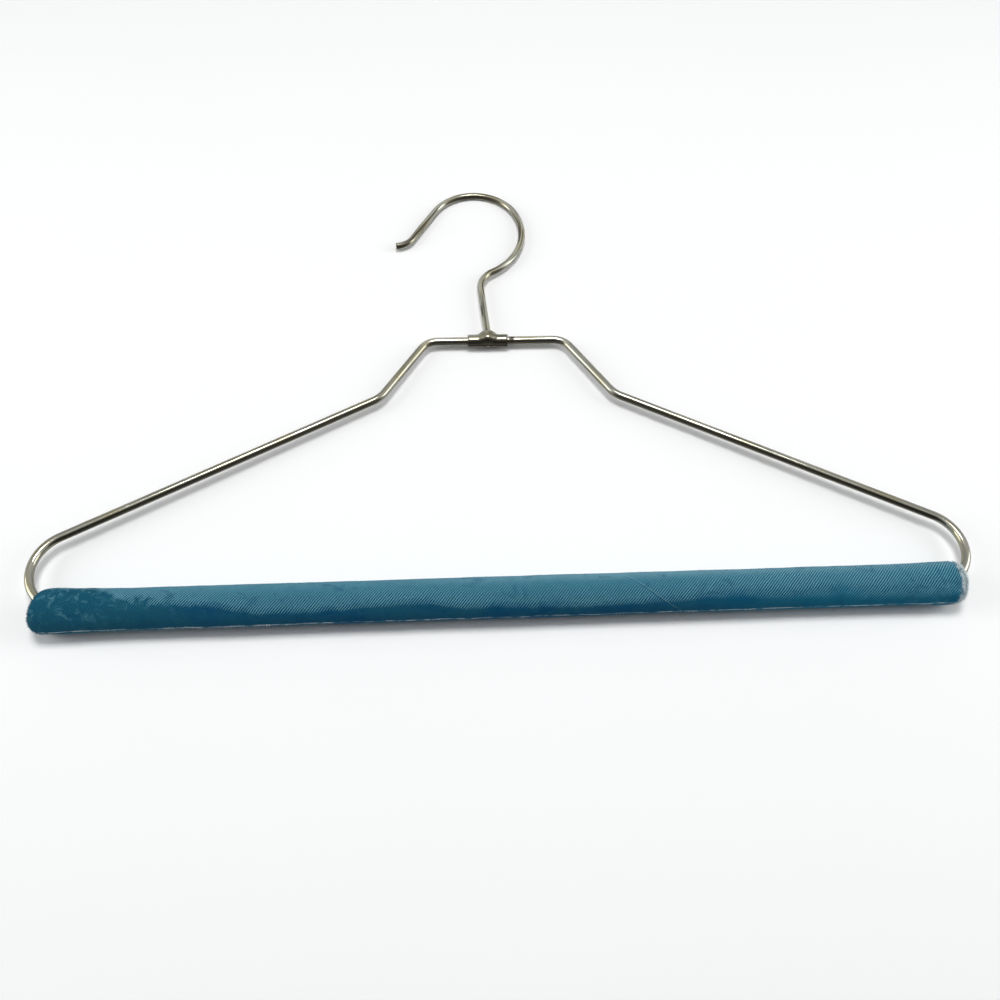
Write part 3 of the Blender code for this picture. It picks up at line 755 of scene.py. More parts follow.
class Velvet(Finish):
    """Crushed velvet in slanting rows: its nap pale on top and deep low down with painted light and shade,
    deep at the left end.
    """

    def __init__(self, name, tips=False):
        """Build the material. Tips is for loose tufts, which pale along their length and end in a painted
        glow.
        """
        super().__init__(name)
        self.sizes = settings().velvet
        place = self.surface_place()
        self.along, self.around = self.parts(place)
        self.clouds = self.noise(place, CLOUDS)
        self.patches = self.noise(place, PATCHES)
        self.crushed = self.noise(place, CRUSHED)
        self.fibres = self.noise(place, FIBRES)
        self.threads = self.noise(place, THREADS)
        self.left = self.ramp(self.along, *CRUSHED_END, 1.0, 0.0)
        wave = self.rows()
        crest = self.ramp(wave, -0.1, 0.9)
        past = self.past_nap_and_shade_edge(crest)
        shown = self.rows_shown(past)
        colour = self.nap_and_painted_shade(past)
        colour = self.mix(self.product(shown, self.ramp(wave, -1.0, 0.1, 0.95, 0.0)), colour, self.sizes.deep)
        colour = self.mix(self.product(shown, crest, 0.80), colour, self.sizes.frost)
        colour = self.rubbed_places_and_dent_shade(colour, past)
        for detail in (self.left_rim_highlight, self.right_fringe_glow, self.crease, self.raw_edge_highlight):
            colour = detail(colour)
        if tips:
            colour = self.paled_and_highlit_tips(colour)
        self.set(Base_Color=colour, Roughness=0.9, Specular_IOR_Level=0.03)
        self.set(Sheen_Weight=0.08, Sheen_Roughness=0.35, Sheen_Tint=tuple(self.sizes.sheen))
        pile = self.math("ADD", self.product(crest, shown), self.math("MULTIPLY", self.fibres, 0.8))
        self.set(Normal=self.bump(pile, ROW_DEPTH, self.bump(self.patches, SOFT_DEPTH)))

    def rows(self):
        """Waves of the slanting rows, from -1 in a valley to 1 on a crest."""
        slant = self.sizes.row_slant
        spacing = self.sizes.row_spacing
        across = self.math("MULTIPLY", self.along, math.sin(slant) * 2 * math.pi * MM / spacing)
        down = self.math("MULTIPLY", self.around, math.cos(slant) * 2 * math.pi * MM / spacing)
        waver = self.ramp(self.patches, 0.2, 0.8, -1.6, 1.6)
        return self.math("SINE", self.math("ADD", self.math("ADD", across, down), waver))

    def past_nap_and_shade_edge(self, crest):
        """How far a place is past the turn from brushed to deep pile and painted shade. The rows are the
        turn's teeth.
        """
        cloudy = self.ramp(self.clouds, 0.25, 0.75, -0.9, 0.9)
        edge = self.math("ADD", self.curve(self.along, NAP_AND_SHADE_EDGE), cloudy)
        ragged = self.product(self.left, self.ramp(self.patches, 0.30, 0.70, -2.5, 2.5))
        edge = self.math("ADD", self.math("ADD", edge, ragged), self.math("MULTIPLY", crest, 1.3))
        softness = self.ramp(self.along, *SOFTER_TURN, 1.0, 3.2)
        return self.math("DIVIDE", self.math("SUBTRACT", self.around, edge), softness)

    def nap_and_painted_shade(self, past):
        """Brushed pile before the turn, deep past it and down the back: nap with painted light and shade."""
        sizes = self.sizes
        # Painted light: lighter brushed pile on top, turning plain towards the front
        brushed = self.mix(self.ramp(self.around, *TOP_TO_FRONT), sizes.brushed, sizes.plain)
        brushed = self.mix(self.ramp(self.patches, 0.42, 0.66, 0.0, 0.5), brushed, sizes.plain)
        brushed = self.mix(self.ramp(self.along, *TEAL_END, 0.0, 0.40), brushed, sizes.teal)
        # Painted highlight: pale silver along the top of the bar
        flat = self.product(self.ramp(self.around, *TOP_HIGHLIGHT, 0.34, 0.0),
                            self.ramp(self.along, *TOP_HIGHLIGHT_ALONG, 0.25, 1.0))
        brushed = self.mix(flat, brushed, sizes.silver_highlight)
        greener = self.math("MAXIMUM", self.ramp(self.clouds, 0.35, 0.65, 0.0, 0.6),
                            self.math("MULTIPLY", self.left, 0.7))
        shadow = self.mix(greener, sizes.deep, sizes.deep_green)
        shadow = self.mix(self.ramp(self.along, *LIGHTER_DEEP, 0.0, 0.9), shadow, sizes.teal)
        # Painted shade: deep pile past the turn and down the back
        deep = self.math("MAXIMUM", self.ramp(past, -0.7, 0.5), self.ramp(self.around, *BACK_SHADE, 1.0, 0.0))
        return self.mix(deep, brushed, shadow)

    def rows_shown(self, past):
        """How clearly the rows show: most just before the turn, and hardly past it."""
        shown = self.product(self.ramp(past, -9.0, -0.8, 0.30, 1.0), self.ramp(past, 0.2, 1.6, 1.0, 0.10))
        return self.product(shown, self.ramp(self.fibres, 0.25, 0.6, 0.5, 1.0),
                            self.ramp(self.clouds, 0.30, 0.55, 0.5, 1.0))

    def rubbed_places_and_dent_shade(self, colour, past):
        """Pale crushed places, mostly near the ends, and painted shade in the dents between them."""
        near_end = self.math("MAXIMUM", self.ramp(self.along, *WORN_LEFT, 0.9, 0.12),
                             self.ramp(self.along, *WORN_RIGHT, 0.12, 0.45))
        mottled = self.product(self.ramp(self.along, *MOTTLED_END, 1.0, 0.0),
                               self.ramp(self.around, *MOTTLED_FRONT, 0.9, 0.25),
                               self.ramp(self.around, *MOTTLED_BACK))
        reach = self.math("MAXIMUM", self.ramp(past, -1.0, 14.0, 0.80, 0.10), mottled)
        wear_and_highlight = self.product(self.ramp(self.crushed, 0.50, 0.72), near_end, reach)
        wear_and_highlight = self.product(wear_and_highlight, self.ramp(self.fibres, 0.3, 0.7, 0.2, 0.62))
        colour = self.mix(wear_and_highlight, colour, self.sizes.frost)
        # Painted shade: darker where the soft relief dips
        return self.mix(self.ramp(self.patches, 0.30, 0.48, 0.35, 0.0), colour, self.sizes.deep)

    def left_rim_highlight(self, colour):
        """Painted highlight: a silvery line along the far edge of the left end."""
        rim = self.product(self.ramp(self.along, *RIM_HIGHLIGHT_FADE, 1.0, 0.0),
                           self.band(self.around, RIM_HIGHLIGHT_PLACE, *RIM_HIGHLIGHT_SPREAD, 0.5),
                           self.ramp(self.crushed, 0.35, 0.55, 0.2, 1.0))
        return self.mix(rim, colour, self.sizes.silver_highlight)

    def right_fringe_glow(self, colour):
        """Painted glow of backlit pile: a ragged whitish fringe round the right end, fading towards the end's
        middle.
        """
        ragged = self.math("ADD", self.along, self.ramp(self.crushed, 0.3, 0.7, -1.3, 1.3))
        fringe = self.product(self.ramp(ragged, *FRINGE_GLOW_START),
                              self.ramp(self.along, *FRINGE_GLOW_FADE, 1.0, 0.12),
                              self.ramp(self.fibres, 0.25, 0.60, 0.25, 0.7))
        return self.mix(fringe, colour, self.sizes.tips)

    def crease(self, colour):
        """The sharp crease: painted shade in its valley and a painted highlight on its lip."""
        run_x, run_v, size = crease_run()
        from_x = self.math("SUBTRACT", self.along, CREASE_START[0] / MM)
        from_v = self.math("SUBTRACT", self.around, CREASE_START[1] / MM)
        ahead = self.math("ADD", self.product(from_x, run_x), self.product(from_v, run_v))
        off = self.math("SUBTRACT", self.product(from_x, run_v), self.product(from_v, run_x))
        within = self.product(self.ramp(ahead, 1.0, 5.0),
                              self.ramp(ahead, size / MM - 6.0, size / MM, 1.0, 0.0),
                              self.ramp(self.fibres, 0.35, 0.60, 0.2, 1.0),
                              self.ramp(self.patches, 0.35, 0.55, 0.4, 1.0))
        # Painted shade in the crease's valley
        colour = self.mix(self.product(within, self.band(off, 0.0, 0.1, 0.6, 0.6)), colour, self.sizes.deep)
        # Painted highlight on the crease's lip
        lip = self.product(within, self.band(off, 0.55, 0.05, 0.32, 0.45))
        return self.mix(lip, colour, self.sizes.silver_highlight)

    def raw_edge_highlight(self, colour):
        """Broken pale line along the lapped seam's raw edge, whitened further as a painted highlight."""
        seam = self.sizes.seam_turn * self.sizes.radius / MM
        raw = self.product(self.ramp(self.math("SUBTRACT", seam, self.around), 0.30, 0.85, 0.9, 0.0),
                           self.ramp(self.threads, 0.38, 0.54, 0.12, 1.0),
                           self.ramp(self.clouds, 0.40, 0.58, 0.35, 1.0),
                           self.ramp(self.around, seam + 0.2, seam + 0.4, 1.0, 0.0))
        return self.mix(raw, colour, self.sizes.tips)

    def paled_and_highlit_tips(self, colour):
        """Pile that pales towards its tips, and whitens there where it is frayed, as a painted glow of
        backlit pile.
        """
        height, pale = self.parts(self.node("ShaderNodeUVMap", uv_map="pile").outputs["UV"])
        colour = self.mix(self.ramp(height, 0.1, 1.0, 0.0, 0.35), colour, self.sizes.frost)
        return self.mix(self.product(self.ramp(height, 0.0, 0.9), pale), colour, self.sizes.tips)


def wadding_finish():
    """White polyester wadding: matted fibres."""
    finish = Finish("polyester_wadding")
    matted = finish.noise(finish.surface_place(), MATTED)
    fibre = settings().filling.fibre
    dim = tuple(part * 0.8 for part in fibre)
    finish.set(Base_Color=finish.mix(matted, dim, fibre), Roughness=0.95, Sheen_Weight=0.3)
    finish.set(Normal=finish.bump(matted, 0.4 * MM))
    return finish.material


def wood_finish():
    """Plain softwood, with its grain along the bar."""
    finish = Finish("softwood")
    place = finish.node("ShaderNodeTexCoord").outputs["Object"]
    rings = finish.noise(place, YEAR_RINGS)
    pores = finish.noise(place, PORES)
    filling = settings().filling
    colour = finish.mix(finish.ramp(rings, 0.40, 0.62), filling.wood, filling.grain)
    colour = finish.mix(finish.ramp(pores, 0.5, 0.8, 0.0, 0.25), colour, filling.grain)
    finish.set(Base_Color=colour, Roughness=0.7, Normal=finish.bump(pores, 0.05 * MM))
    return finish.material


# The padded bar

COVER_SIDES = 120
COVER_STEP = 1.0 * MM
DOME_STEPS = 18
GATHER_STEPS = 7
DOME_POWER = 2.5
GATHER_RADIUS_SHARE = 0.34
GATHER_CORE_SHARE = 0.06
TABLE_GAP = 0.02 * MM

# The sharp crease: places along the bar, and from its top round the front
CREASE_START = (49.8 * MM, -6.0 * MM)
CREASE_END = (76.3 * MM, 14.5 * MM)
CREASE_FINE_REACH = 18.0 * MM
CREASE_FADE_IN = (-2 * MM, 4 * MM)
CREASE_FADE_OUT = (2 * MM, -3 * MM)

# Its ridge and its valley: height in millimetres, offset and half width
CREASE_WAVES = ((0.07, 0.9 * MM, 0.55 * MM), (-0.15, 0.0, 0.50 * MM))

# Soft lumps: height in millimetres, length along the bar, waves round it and place in the noise
LARGE_LUMPS = (0.10, 24 * MM, 1.1, 0.0)
SMALL_LUMPS = (0.05, 7 * MM, 2.4, 3.0)
CRUMPLES = (0.16, 8 * MM, 1.9, 7.0)

# Distances from an end where its crumples start and are all there
CRUMPLED_END = (45 * MM, 5 * MM)

# Pleats of the gathered ends: the share to which the bar has narrowed where they start, their height in
# millimetres, and how they wander round it
PLEATS = 15
PLEAT_START_SHARE = 0.72
PLEAT_HEIGHT = 0.42
PLEAT_WANDER = (1.5, 9 * MM, 2, 0.0)

# Rows of points next to the lapped edge, in millimetres from it, and where the plain rows start and end
LAP_ROWS = (0.0, 0.08, 0.18, 0.30, 0.45, 0.7)
LAP_END = 1.1 * MM
LAP_FOOT = 0.3 * MM

# Breadth of the lapped edge's slope
LAP_SLOPE = 0.35 * MM

# The lapped edge wavers by this much, over this length and within this turn of it
SEAM_WAVER = 0.25 * MM
SEAM_WAVE_LENGTH = 11 * MM
SEAM_WAVER_TURN = 0.25

# The slanting left end: where it starts and is complete, and the turn that lies furthest in
SKEW_SPAN = (16 * MM, 3 * MM)
SKEW_TURN = math.radians(-70)

# Layers inside the bar
PLAIN_DOME_STEPS = 6
MATTED_LENGTH = 3 * MM
MATTED_WAVES = 5
CORE_SIDES = 40


def bar_directions():
    """Directions along the bar and across it, in the hanger's plane."""
    turned = settings().velvet.bar_turn
    along = math.cos(turned) * PLANE_X + math.sin(turned) * PLANE_Y
    return along, np.cross(PLANE_Z, along)


def bar_ends():
    """Where the bar ends on the left and on the right, from its own middle."""
    half = (COVER_HIGH.x - COVER_LOW.x) / 2
    return -half, half


def swell_at(x):
    """How much fuller the bar is near its ends."""
    sizes = settings().velvet
    left, right = bar_ends()
    fuller = smoothstep(left + sizes.swell_length, left, x) * sizes.left_swell
    return fuller + smoothstep(right - sizes.swell_length, right, x) * sizes.right_swell


def meridian(end, rounding, step, dome_steps, gather_steps, depth):
    """Half of a bar layer's outline as places and shares of its radius, from the middle to one end."""
    straight_count = round((end - rounding) / step)
    places = [((end - rounding) * part / straight_count, 1.0) for part in range(1, straight_count + 1)]
    top_turn = math.acos(GATHER_RADIUS_SHARE ** (DOME_POWER / 2))
    for part in range(1, dome_steps + 1):
        reach = math.sin(top_turn * part / dome_steps) ** (2 / DOME_POWER)
        radius = math.cos(top_turn * part / dome_steps) ** (2 / DOME_POWER)
        places.append((end - rounding + rounding * reach, radius))
    for part in range(1, gather_steps + 1):
        drawn = part / gather_steps
        radius = GATHER_RADIUS_SHARE + (GATHER_CORE_SHARE - GATHER_RADIUS_SHARE) * drawn
        places.append((places[-1][0] - depth * (2 * part - 1) / gather_steps ** 2, radius))
    return places


def layer_outline(end_inset, rounding, step, dome_steps, gather_steps, depth):
    """A whole bar layer's outline, from its left end to its right end."""
    half = meridian(bar_ends()[1] - end_inset, rounding, step, dome_steps, gather_steps, depth)
    return np.array([(-x, part) for x, part in reversed(half)] + [(0.0, 1.0)] + half)


def bar_points(x, turns, radius, rise):
    """World places on the bar, from a turn round it and a radius. The swollen ends also rise."""
    along, across = bar_directions()
    up = np.cos(turns)[..., None] * PLANE_Z - np.sin(turns)[..., None] * across
    return np.array(BAR_MIDDLE) + x[..., None] * along + up * radius[..., None] + rise[..., None] * PLANE_Z


def crease_run():
    """Unit direction and length of the crease."""
    reach = (CREASE_END[0] - CREASE_START[0], CREASE_END[1] - CREASE_START[1])
    size = math.hypot(*reach)
    return reach[0] / size, reach[1] / size, size


def crease_relief(x, v):
    """Relief of the one sharp crease, which slants down the front right of the middle."""
    run_x, run_v, size = crease_run()
    ahead = (x - CREASE_START[0]) * run_x + (v - CREASE_START[1]) * run_v
    off = (x - CREASE_START[0]) * run_v - (v - CREASE_START[1]) * run_x
    reach = smoothstep(*CREASE_FADE_IN, ahead) * smoothstep(*CREASE_FADE_OUT, ahead - size)
    rise = sum(height * np.exp(-((off - place) / width) ** 2) for height, place, width in CREASE_WAVES)
    return reach * rise * MM


def lumps(x, turns, pattern):
    """Soft lumps, in millimetres."""
    height, size, waves, place = pattern
    return height * wander(x / size, turns * waves, place)


def cover_relief(x, turns, shares):
    """Height of the velvet above the bar's plain form: the lap, soft lumps, the crease and the pleats."""
    sizes = settings().velvet
    left, right = bar_ends()
    v = turns * sizes.radius
    over = sizes.seam_turn * sizes.radius - v
    lap = sizes.lap_rise * np.clip(1 - over / sizes.lap_width, 0, 1) * smoothstep(0.0, LAP_SLOPE, over)
    near_end = smoothstep(*CRUMPLED_END, np.minimum(x - left, right - x))
    soft = lumps(x, turns, LARGE_LUMPS) + lumps(x, turns, SMALL_LUMPS) + near_end * lumps(x, turns, CRUMPLES)
    gathered = np.clip(1 - shares / PLEAT_START_SHARE, 0, 1)
    pleat = gathered * PLEAT_HEIGHT * np.cos(PLEATS * turns + lumps(x, turns, PLEAT_WANDER))
    return (lap + crease_relief(x, v)) * shares + soft * MM * shares + pleat * MM * shares


def cover_turns():
    """Directions round the bar, from just past the lapped edge all the way round to it."""
    sizes = settings().velvet
    edge = [row * MM / sizes.radius for row in LAP_ROWS]
    plain = np.linspace(LAP_END / sizes.radius, 2 * math.pi - LAP_FOOT / sizes.radius, COVER_SIDES)
    before = np.array(edge + plain.tolist())
    return sizes.seam_turn - before[::-1]


def cover_skin():
    """Outer skin of the velvet cover."""
    sizes = settings().velvet
    outline = layer_outline(0.0, sizes.end_rounding, COVER_STEP, DOME_STEPS, GATHER_STEPS, sizes.gather_depth)
    halfway = (outline[1:] + outline[:-1]) / 2
    creased = np.abs(halfway[:, 0] - (CREASE_START[0] + CREASE_END[0]) / 2) < CREASE_FINE_REACH
    outline = np.insert(outline, np.nonzero(creased)[0] + 1, halfway[creased], axis=0)
    turns, x = np.meshgrid(cover_turns(), outline[:, 0])
    shares = np.repeat(outline[:, 1:], turns.shape[1], axis=1)
    swell = swell_at(x)
    wavy = SEAM_WAVER / sizes.radius * wander(x / SEAM_WAVE_LENGTH, x * 0)
    shifted = turns + wavy * np.exp(-((turns - sizes.seam_turn) / SEAM_WAVER_TURN) ** 2)
    radius = (sizes.radius + swell) * shares + cover_relief(x, turns, shares)
    skew = sizes.left_skew * smoothstep(*SKEW_SPAN, x - bar_ends()[0])
    points = bar_points(x + skew * (0.5 + 0.5 * np.cos(turns - SKEW_TURN)), shifted, radius, swell)
    points[..., 2] = np.maximum(points[..., 2], TABLE_GAP)
    skin = Skin()
    around = np.append(cover_turns(), cover_turns()[0] + 2 * math.pi) * sizes.radius
    skin.tube(points, outline[:, 0], around)
    return skin


def plain_layer(inset, end_inset, rounding, step, sides, rough=0.0):
    """A plain layer inside the bar, with an optional matted surface."""
    sizes = settings().velvet
    outline = layer_outline(end_inset, rounding, step, PLAIN_DOME_STEPS, 1, 0.0)
    turns, x = np.meshgrid(np.arange(sides) * 2 * math.pi / sides, outline[:, 0])
    shares = np.repeat(outline[:, 1:], sides, axis=1)
    swell = swell_at(x)
    radius = (sizes.radius + swell - inset) * shares
    if rough:
        radius = radius - rough * (0.5 + 0.5 * wander(x / MATTED_LENGTH, turns * MATTED_WAVES)) * shares
    skin = Skin()
    around = np.arange(sides + 1) * 2 * math.pi / sides * sizes.radius
    skin.tube(bar_points(x, turns, radius, swell), outline[:, 0], around)
    return skin


def core_space(clearance):
    """Rod of the core's size, with a clearance."""
    low, high = LOWER_CORE[0], UPPER_CORE[1]
    radius = (high.z - low.z) / 2 + clearance
    half = (high.x - low.x) / 2 + clearance
    turned = settings().velvet.bar_turn
    reach = half * np.array((math.cos(turned), math.sin(turned)))
    middle = np.array((BAR_MIDDLE.x, -FRAME_HEIGHT))
    skin = Skin()
    sweep(skin, np.array((middle - reach, middle + reach)), (radius, radius), CORE_SIDES)
    return skin


# Operators, one for each piece

# The collar's skin: facets round it, in degrees and counts, and stations along it
BOSS_ARC = 50.0
BOSS_ARC_STEP = 2.5
SLEEVE_FACETS = 24
BOSS_STATIONS = 27
SLEEVE_STATIONS = 11
LIP_LENGTH = 0.9 * MM
HOLE_SIDES = 48
EDGE_SEGMENTS = 2
EDGE_TURN = math.radians(55)

# Rounded rims of the hook's head and its cut end, as shares of their rounding
ROUNDED_SHARE = 0.3
CUT_STEP_SHARES = (0.6, 0.4)

# The cover's inside, and the play round the wire where it enters
INSIDE_STEP = 8 * MM
INSIDE_SIDES = 48
ENTRY_PLAY = 0.15 * MM
CLOTH_SHARP_TURN = math.radians(70)

# The wadding's steps and the depth of its matted surface
WADDING_STEP = 3 * MM
WADDING_SIDES = 64
MATTED_DEPTH = 0.12 * MM

# Loose tufts for each square millimetre: everywhere, at the left and right ends and along the raw edge
PLAIN_DENSITY = 0.2
LEFT_DENSITY = 3.5
RIGHT_DENSITY = 7.0
SEAM_DENSITY = 8.0

# Distances from the left end, the right end and the raw edge where they start and are all there
LEFT_TUFTS = (7 * MM, 2.5 * MM)
RIGHT_TUFTS = (7 * MM, 2 * MM)
SEAM_TUFTS = (0.9 * MM, 0.3 * MM)

# Distances from the two ends where tips start to whiten and are whitest, and how white they are: painted glow
LEFT_GLOW = (3.2 * MM, 1.2 * MM)
RIGHT_GLOW = (6.5 * MM, 2.5 * MM)
LEFT_GLOW_SHARE = 0.4
PLAIN_GLOW_SHARE = 0.05

# The raw edge frays in places, and most of all round one of them
FRAY_LENGTH = 9 * MM
FRAY_PLACE = -122 * MM
FRAY_SPREAD = 30 * MM
FRAY_LEAST, FRAY_GAIN, FRAY_MOST = 0.15, 0.4, 1.2

# Faces with pile: depth below the bar's radius as a share of the cover's thickness, and least height
OUTER_SHARE = 0.45
LOWEST_ROOT = 0.4 * MM

# Length of the plain pile, and least height of a tuft above the table
SHORT_PILE = 0.35 * MM
LOWEST_TUFT = 0.05 * MM

# A tuft, in millimetres: its root's depth, its radius and what a stiff one adds
ROOT_DEPTH = 0.1
TUFT_RADIUS, TUFT_STIFF_RADIUS = 0.05, 0.03

# The way that tufts lie, how far each strays from it, and how much less the stiff ones lean
TUFT_LAY = Vector((0.5, 0.6, 0.2))
TUFT_STRAY = 0.7
TUFT_STIFFNESS = 0.55

# Shares of a tuft's length: the knee's height and lean, the tip's height, its drop and its lean
TUFT_KNEE = 0.55
KNEE_LEAN = 0.22
TIP_HEIGHT, TIP_DROP, TIP_LEAN = 0.95, 0.35, 0.75
KNEE_RADIUS_SHARE = 0.75

# Least and most shares that each tuft draws
LENGTH_DRAW = (0.5, 1.15)
RADIUS_DRAW = (0.7, 1.3)
LEAN_DRAW = (0.5, 1.4)
GLOW_DRAW = (0.6, 1.3)

TUFT_SIDES = 3
TUFT_CORNERS = 24


class HANGER_OT_frame_wire(bpy.types.Operator):
    """Draw the closed wire loop and give it its aged plating"""
    bl_idname = "hanger.frame_wire"
    bl_label = "Frame Wire"

    def execute(self, context):
        wire = loop_skin().make("plated_wire_loop")
        nickel = nickel_finish("wire_nickel", worn=0.05, seed=3.0, dim=0.70, streaks=0.40, side=0.92,
                               wear_and_highlight=True)
        dress(wire, nickel, "frame")
        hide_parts("frame_wire")
        return {"FINISHED"}


class HANGER_OT_collar(bpy.types.Operator):
    """Fold the sheet collar round the top run, with its pierced boss"""
    bl_idname = "hanger.collar"
    bl_label = "Folded Collar"

    def execute(self, context):
        collar = settings().collar
        _, radius, _, lip = boss_sizes()
        foot = radius + collar.fillet
        sleeve = sleeve_radius()
        gap = math.asin(collar.seam_gap / 2 / sleeve)
        fine = np.radians(np.arange(0.0, BOSS_ARC, BOSS_ARC_STEP))
        coarse = np.linspace(math.radians(BOSS_ARC), math.pi - gap, SLEEVE_FACETS)
        half_turns = np.concatenate((fine, coarse))
        angles = np.concatenate((-half_turns[:0:-1], half_turns))
        inner = foot * np.sin(np.linspace(0, math.pi / 2, BOSS_STATIONS))
        outer = np.linspace(foot, collar.length / 2, SLEEVE_STATIONS)[1:]
        half = np.concatenate((inner, outer))
        stations = np.concatenate((-half[:0:-1], half))
        skin = Skin()
        for x in stations:
            drawn = collar.lip * float(smoothstep(collar.length / 2 - LIP_LENGTH, collar.length / 2, abs(x)))
            for angle in angles:
                reach = collar_reach(x, angle, drawn)
                flat = np.array((COLLAR_PLACE + x, reach * math.cos(angle)))
                skin.points.append((in_plane(flat)[0] + PLANE_Z * reach * math.sin(angle)).tolist())
        count = len(angles)
        for station in range(len(stations) - 1):
            for side in range(count - 1):
                corner = station * count + side
                skin.faces.append((corner, corner + 1, corner + count + 1, corner + count))
                for row, column in ((0, 0), (0, 1), (1, 1), (1, 0)):
                    skin.corners.append((stations[station + row], angles[side + column] * sleeve))
        piece = skin.make("folded_collar")
        wall = piece.modifiers.new("Sheet", "SOLIDIFY")
        wall.thickness = collar.sheet
        wall.offset = -1.0
        wall.use_even_offset = True
        bake(piece)
        hole = Skin()
        sweep(hole, np.array(((COLLAR_PLACE, 0.0), (COLLAR_PLACE, lip + collar.length))),
              [HOOK_RADIUS + collar.hole_clearance] * 2, HOLE_SIDES)
        cut(piece, hole.make("hook_hole"))
        edge = piece.modifiers.new("Edge", "BEVEL")
        edge.width = collar.edge
        edge.segments = EDGE_SEGMENTS
        edge.limit_method = "ANGLE"
        edge.angle_limit = EDGE_TURN
        bake(piece)
        nickel = nickel_finish("collar_nickel", worn=0.12, seed=17.0, dim=0.66, streaks=0.80, side=0.97)
        dress(piece, nickel, "collar")
        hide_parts("hook_collar")
        return {"FINISHED"}


class HANGER_OT_hook(bpy.types.Operator):
    """Bend the swivel hook, from its captive head to its outward tip"""
    bl_idname = "hanger.hook"
    bl_label = "Swivel Hook"

    def execute(self, context):
        sizes = settings().hook
        collar = settings().collar
        slope, radius, shoulder, lip = boss_sizes()
        pivot = lip - collar.sheet
        foot = shoulder - collar.rim_height - pivot
        seat = radius - (collar.sheet + collar.seat_clearance) / math.cos(collar.cone_angle)
        head = seat + foot * math.sin(HOOK_LEAN)
        cone = (head - HOOK_RADIUS) / slope
        edge = sizes.shear_edge
        rounded = edge * ROUNDED_SHARE
        profile = [(foot, head - edge), (foot + rounded, head - rounded), (foot + edge, head),
                   (foot + collar.rim_height, head), (foot + collar.rim_height + cone, HOOK_RADIUS)]
        bends = [(sizes.stem - profile[-1][0], 0), (sizes.neck_bend, -sizes.neck_turn),
                 (sizes.flank_bend, sizes.flank_turn), (sizes.crown_bend, sizes.crown_turn), (sizes.nose, 0),
                 (sizes.tip_bend, -sizes.tip_turn)] + [(edge * part, 0) for part in CUT_STEP_SHARES]
        path = bend_path((0, profile[-1][0]), math.pi / 2, bends)
        radii = [size for _, size in profile] + [HOOK_RADIUS] * (len(path) - 1)
        radii[-2:] = [HOOK_RADIUS - rounded, HOOK_RADIUS - edge]
        path = np.array([(0, height) for height, _ in profile[:-1]] + path)
        sine, cosine = math.sin(HOOK_LEAN), math.cos(HOOK_LEAN)
        lean = np.array(((cosine, -sine), (sine, cosine)))
        skin = Skin()
        sweep(skin, path @ lean.T + (COLLAR_PLACE, pivot), radii, settings().wire.sides)
        hook = skin.make("bent_wire_hook")
        nickel = nickel_finish("hook_nickel", worn=0.10, seed=41.0, dim=0.92, streaks=0.90, side=0.97)
        dress(hook, nickel, "hook")
        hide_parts("swivel_hook")
        return {"FINISHED"}


class HANGER_OT_velvet(bpy.types.Operator):
    """Wrap the bar in velvet: lapped low on the front, gathered at both ends and pierced for the wire"""
    bl_idname = "hanger.velvet"
    bl_label = "Velvet Cover"

    def execute(self, context):
        sizes = settings().velvet
        cover = cover_skin().make("velvet_bar_cover")
        inset = sizes.thickness
        inner = plain_layer(inset, inset + sizes.gather_depth, sizes.end_rounding - inset, INSIDE_STEP,
                            INSIDE_SIDES)
        cut(cover, inner.make("cover_inside"))
        cut(cover, loop_skin(ENTRY_PLAY).make("cover_entries"))
        dress(cover, Velvet("teal_velvet").material, "frame", CLOTH_SHARP_TURN)
        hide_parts("velvet_cover")
        return {"FINISHED"}


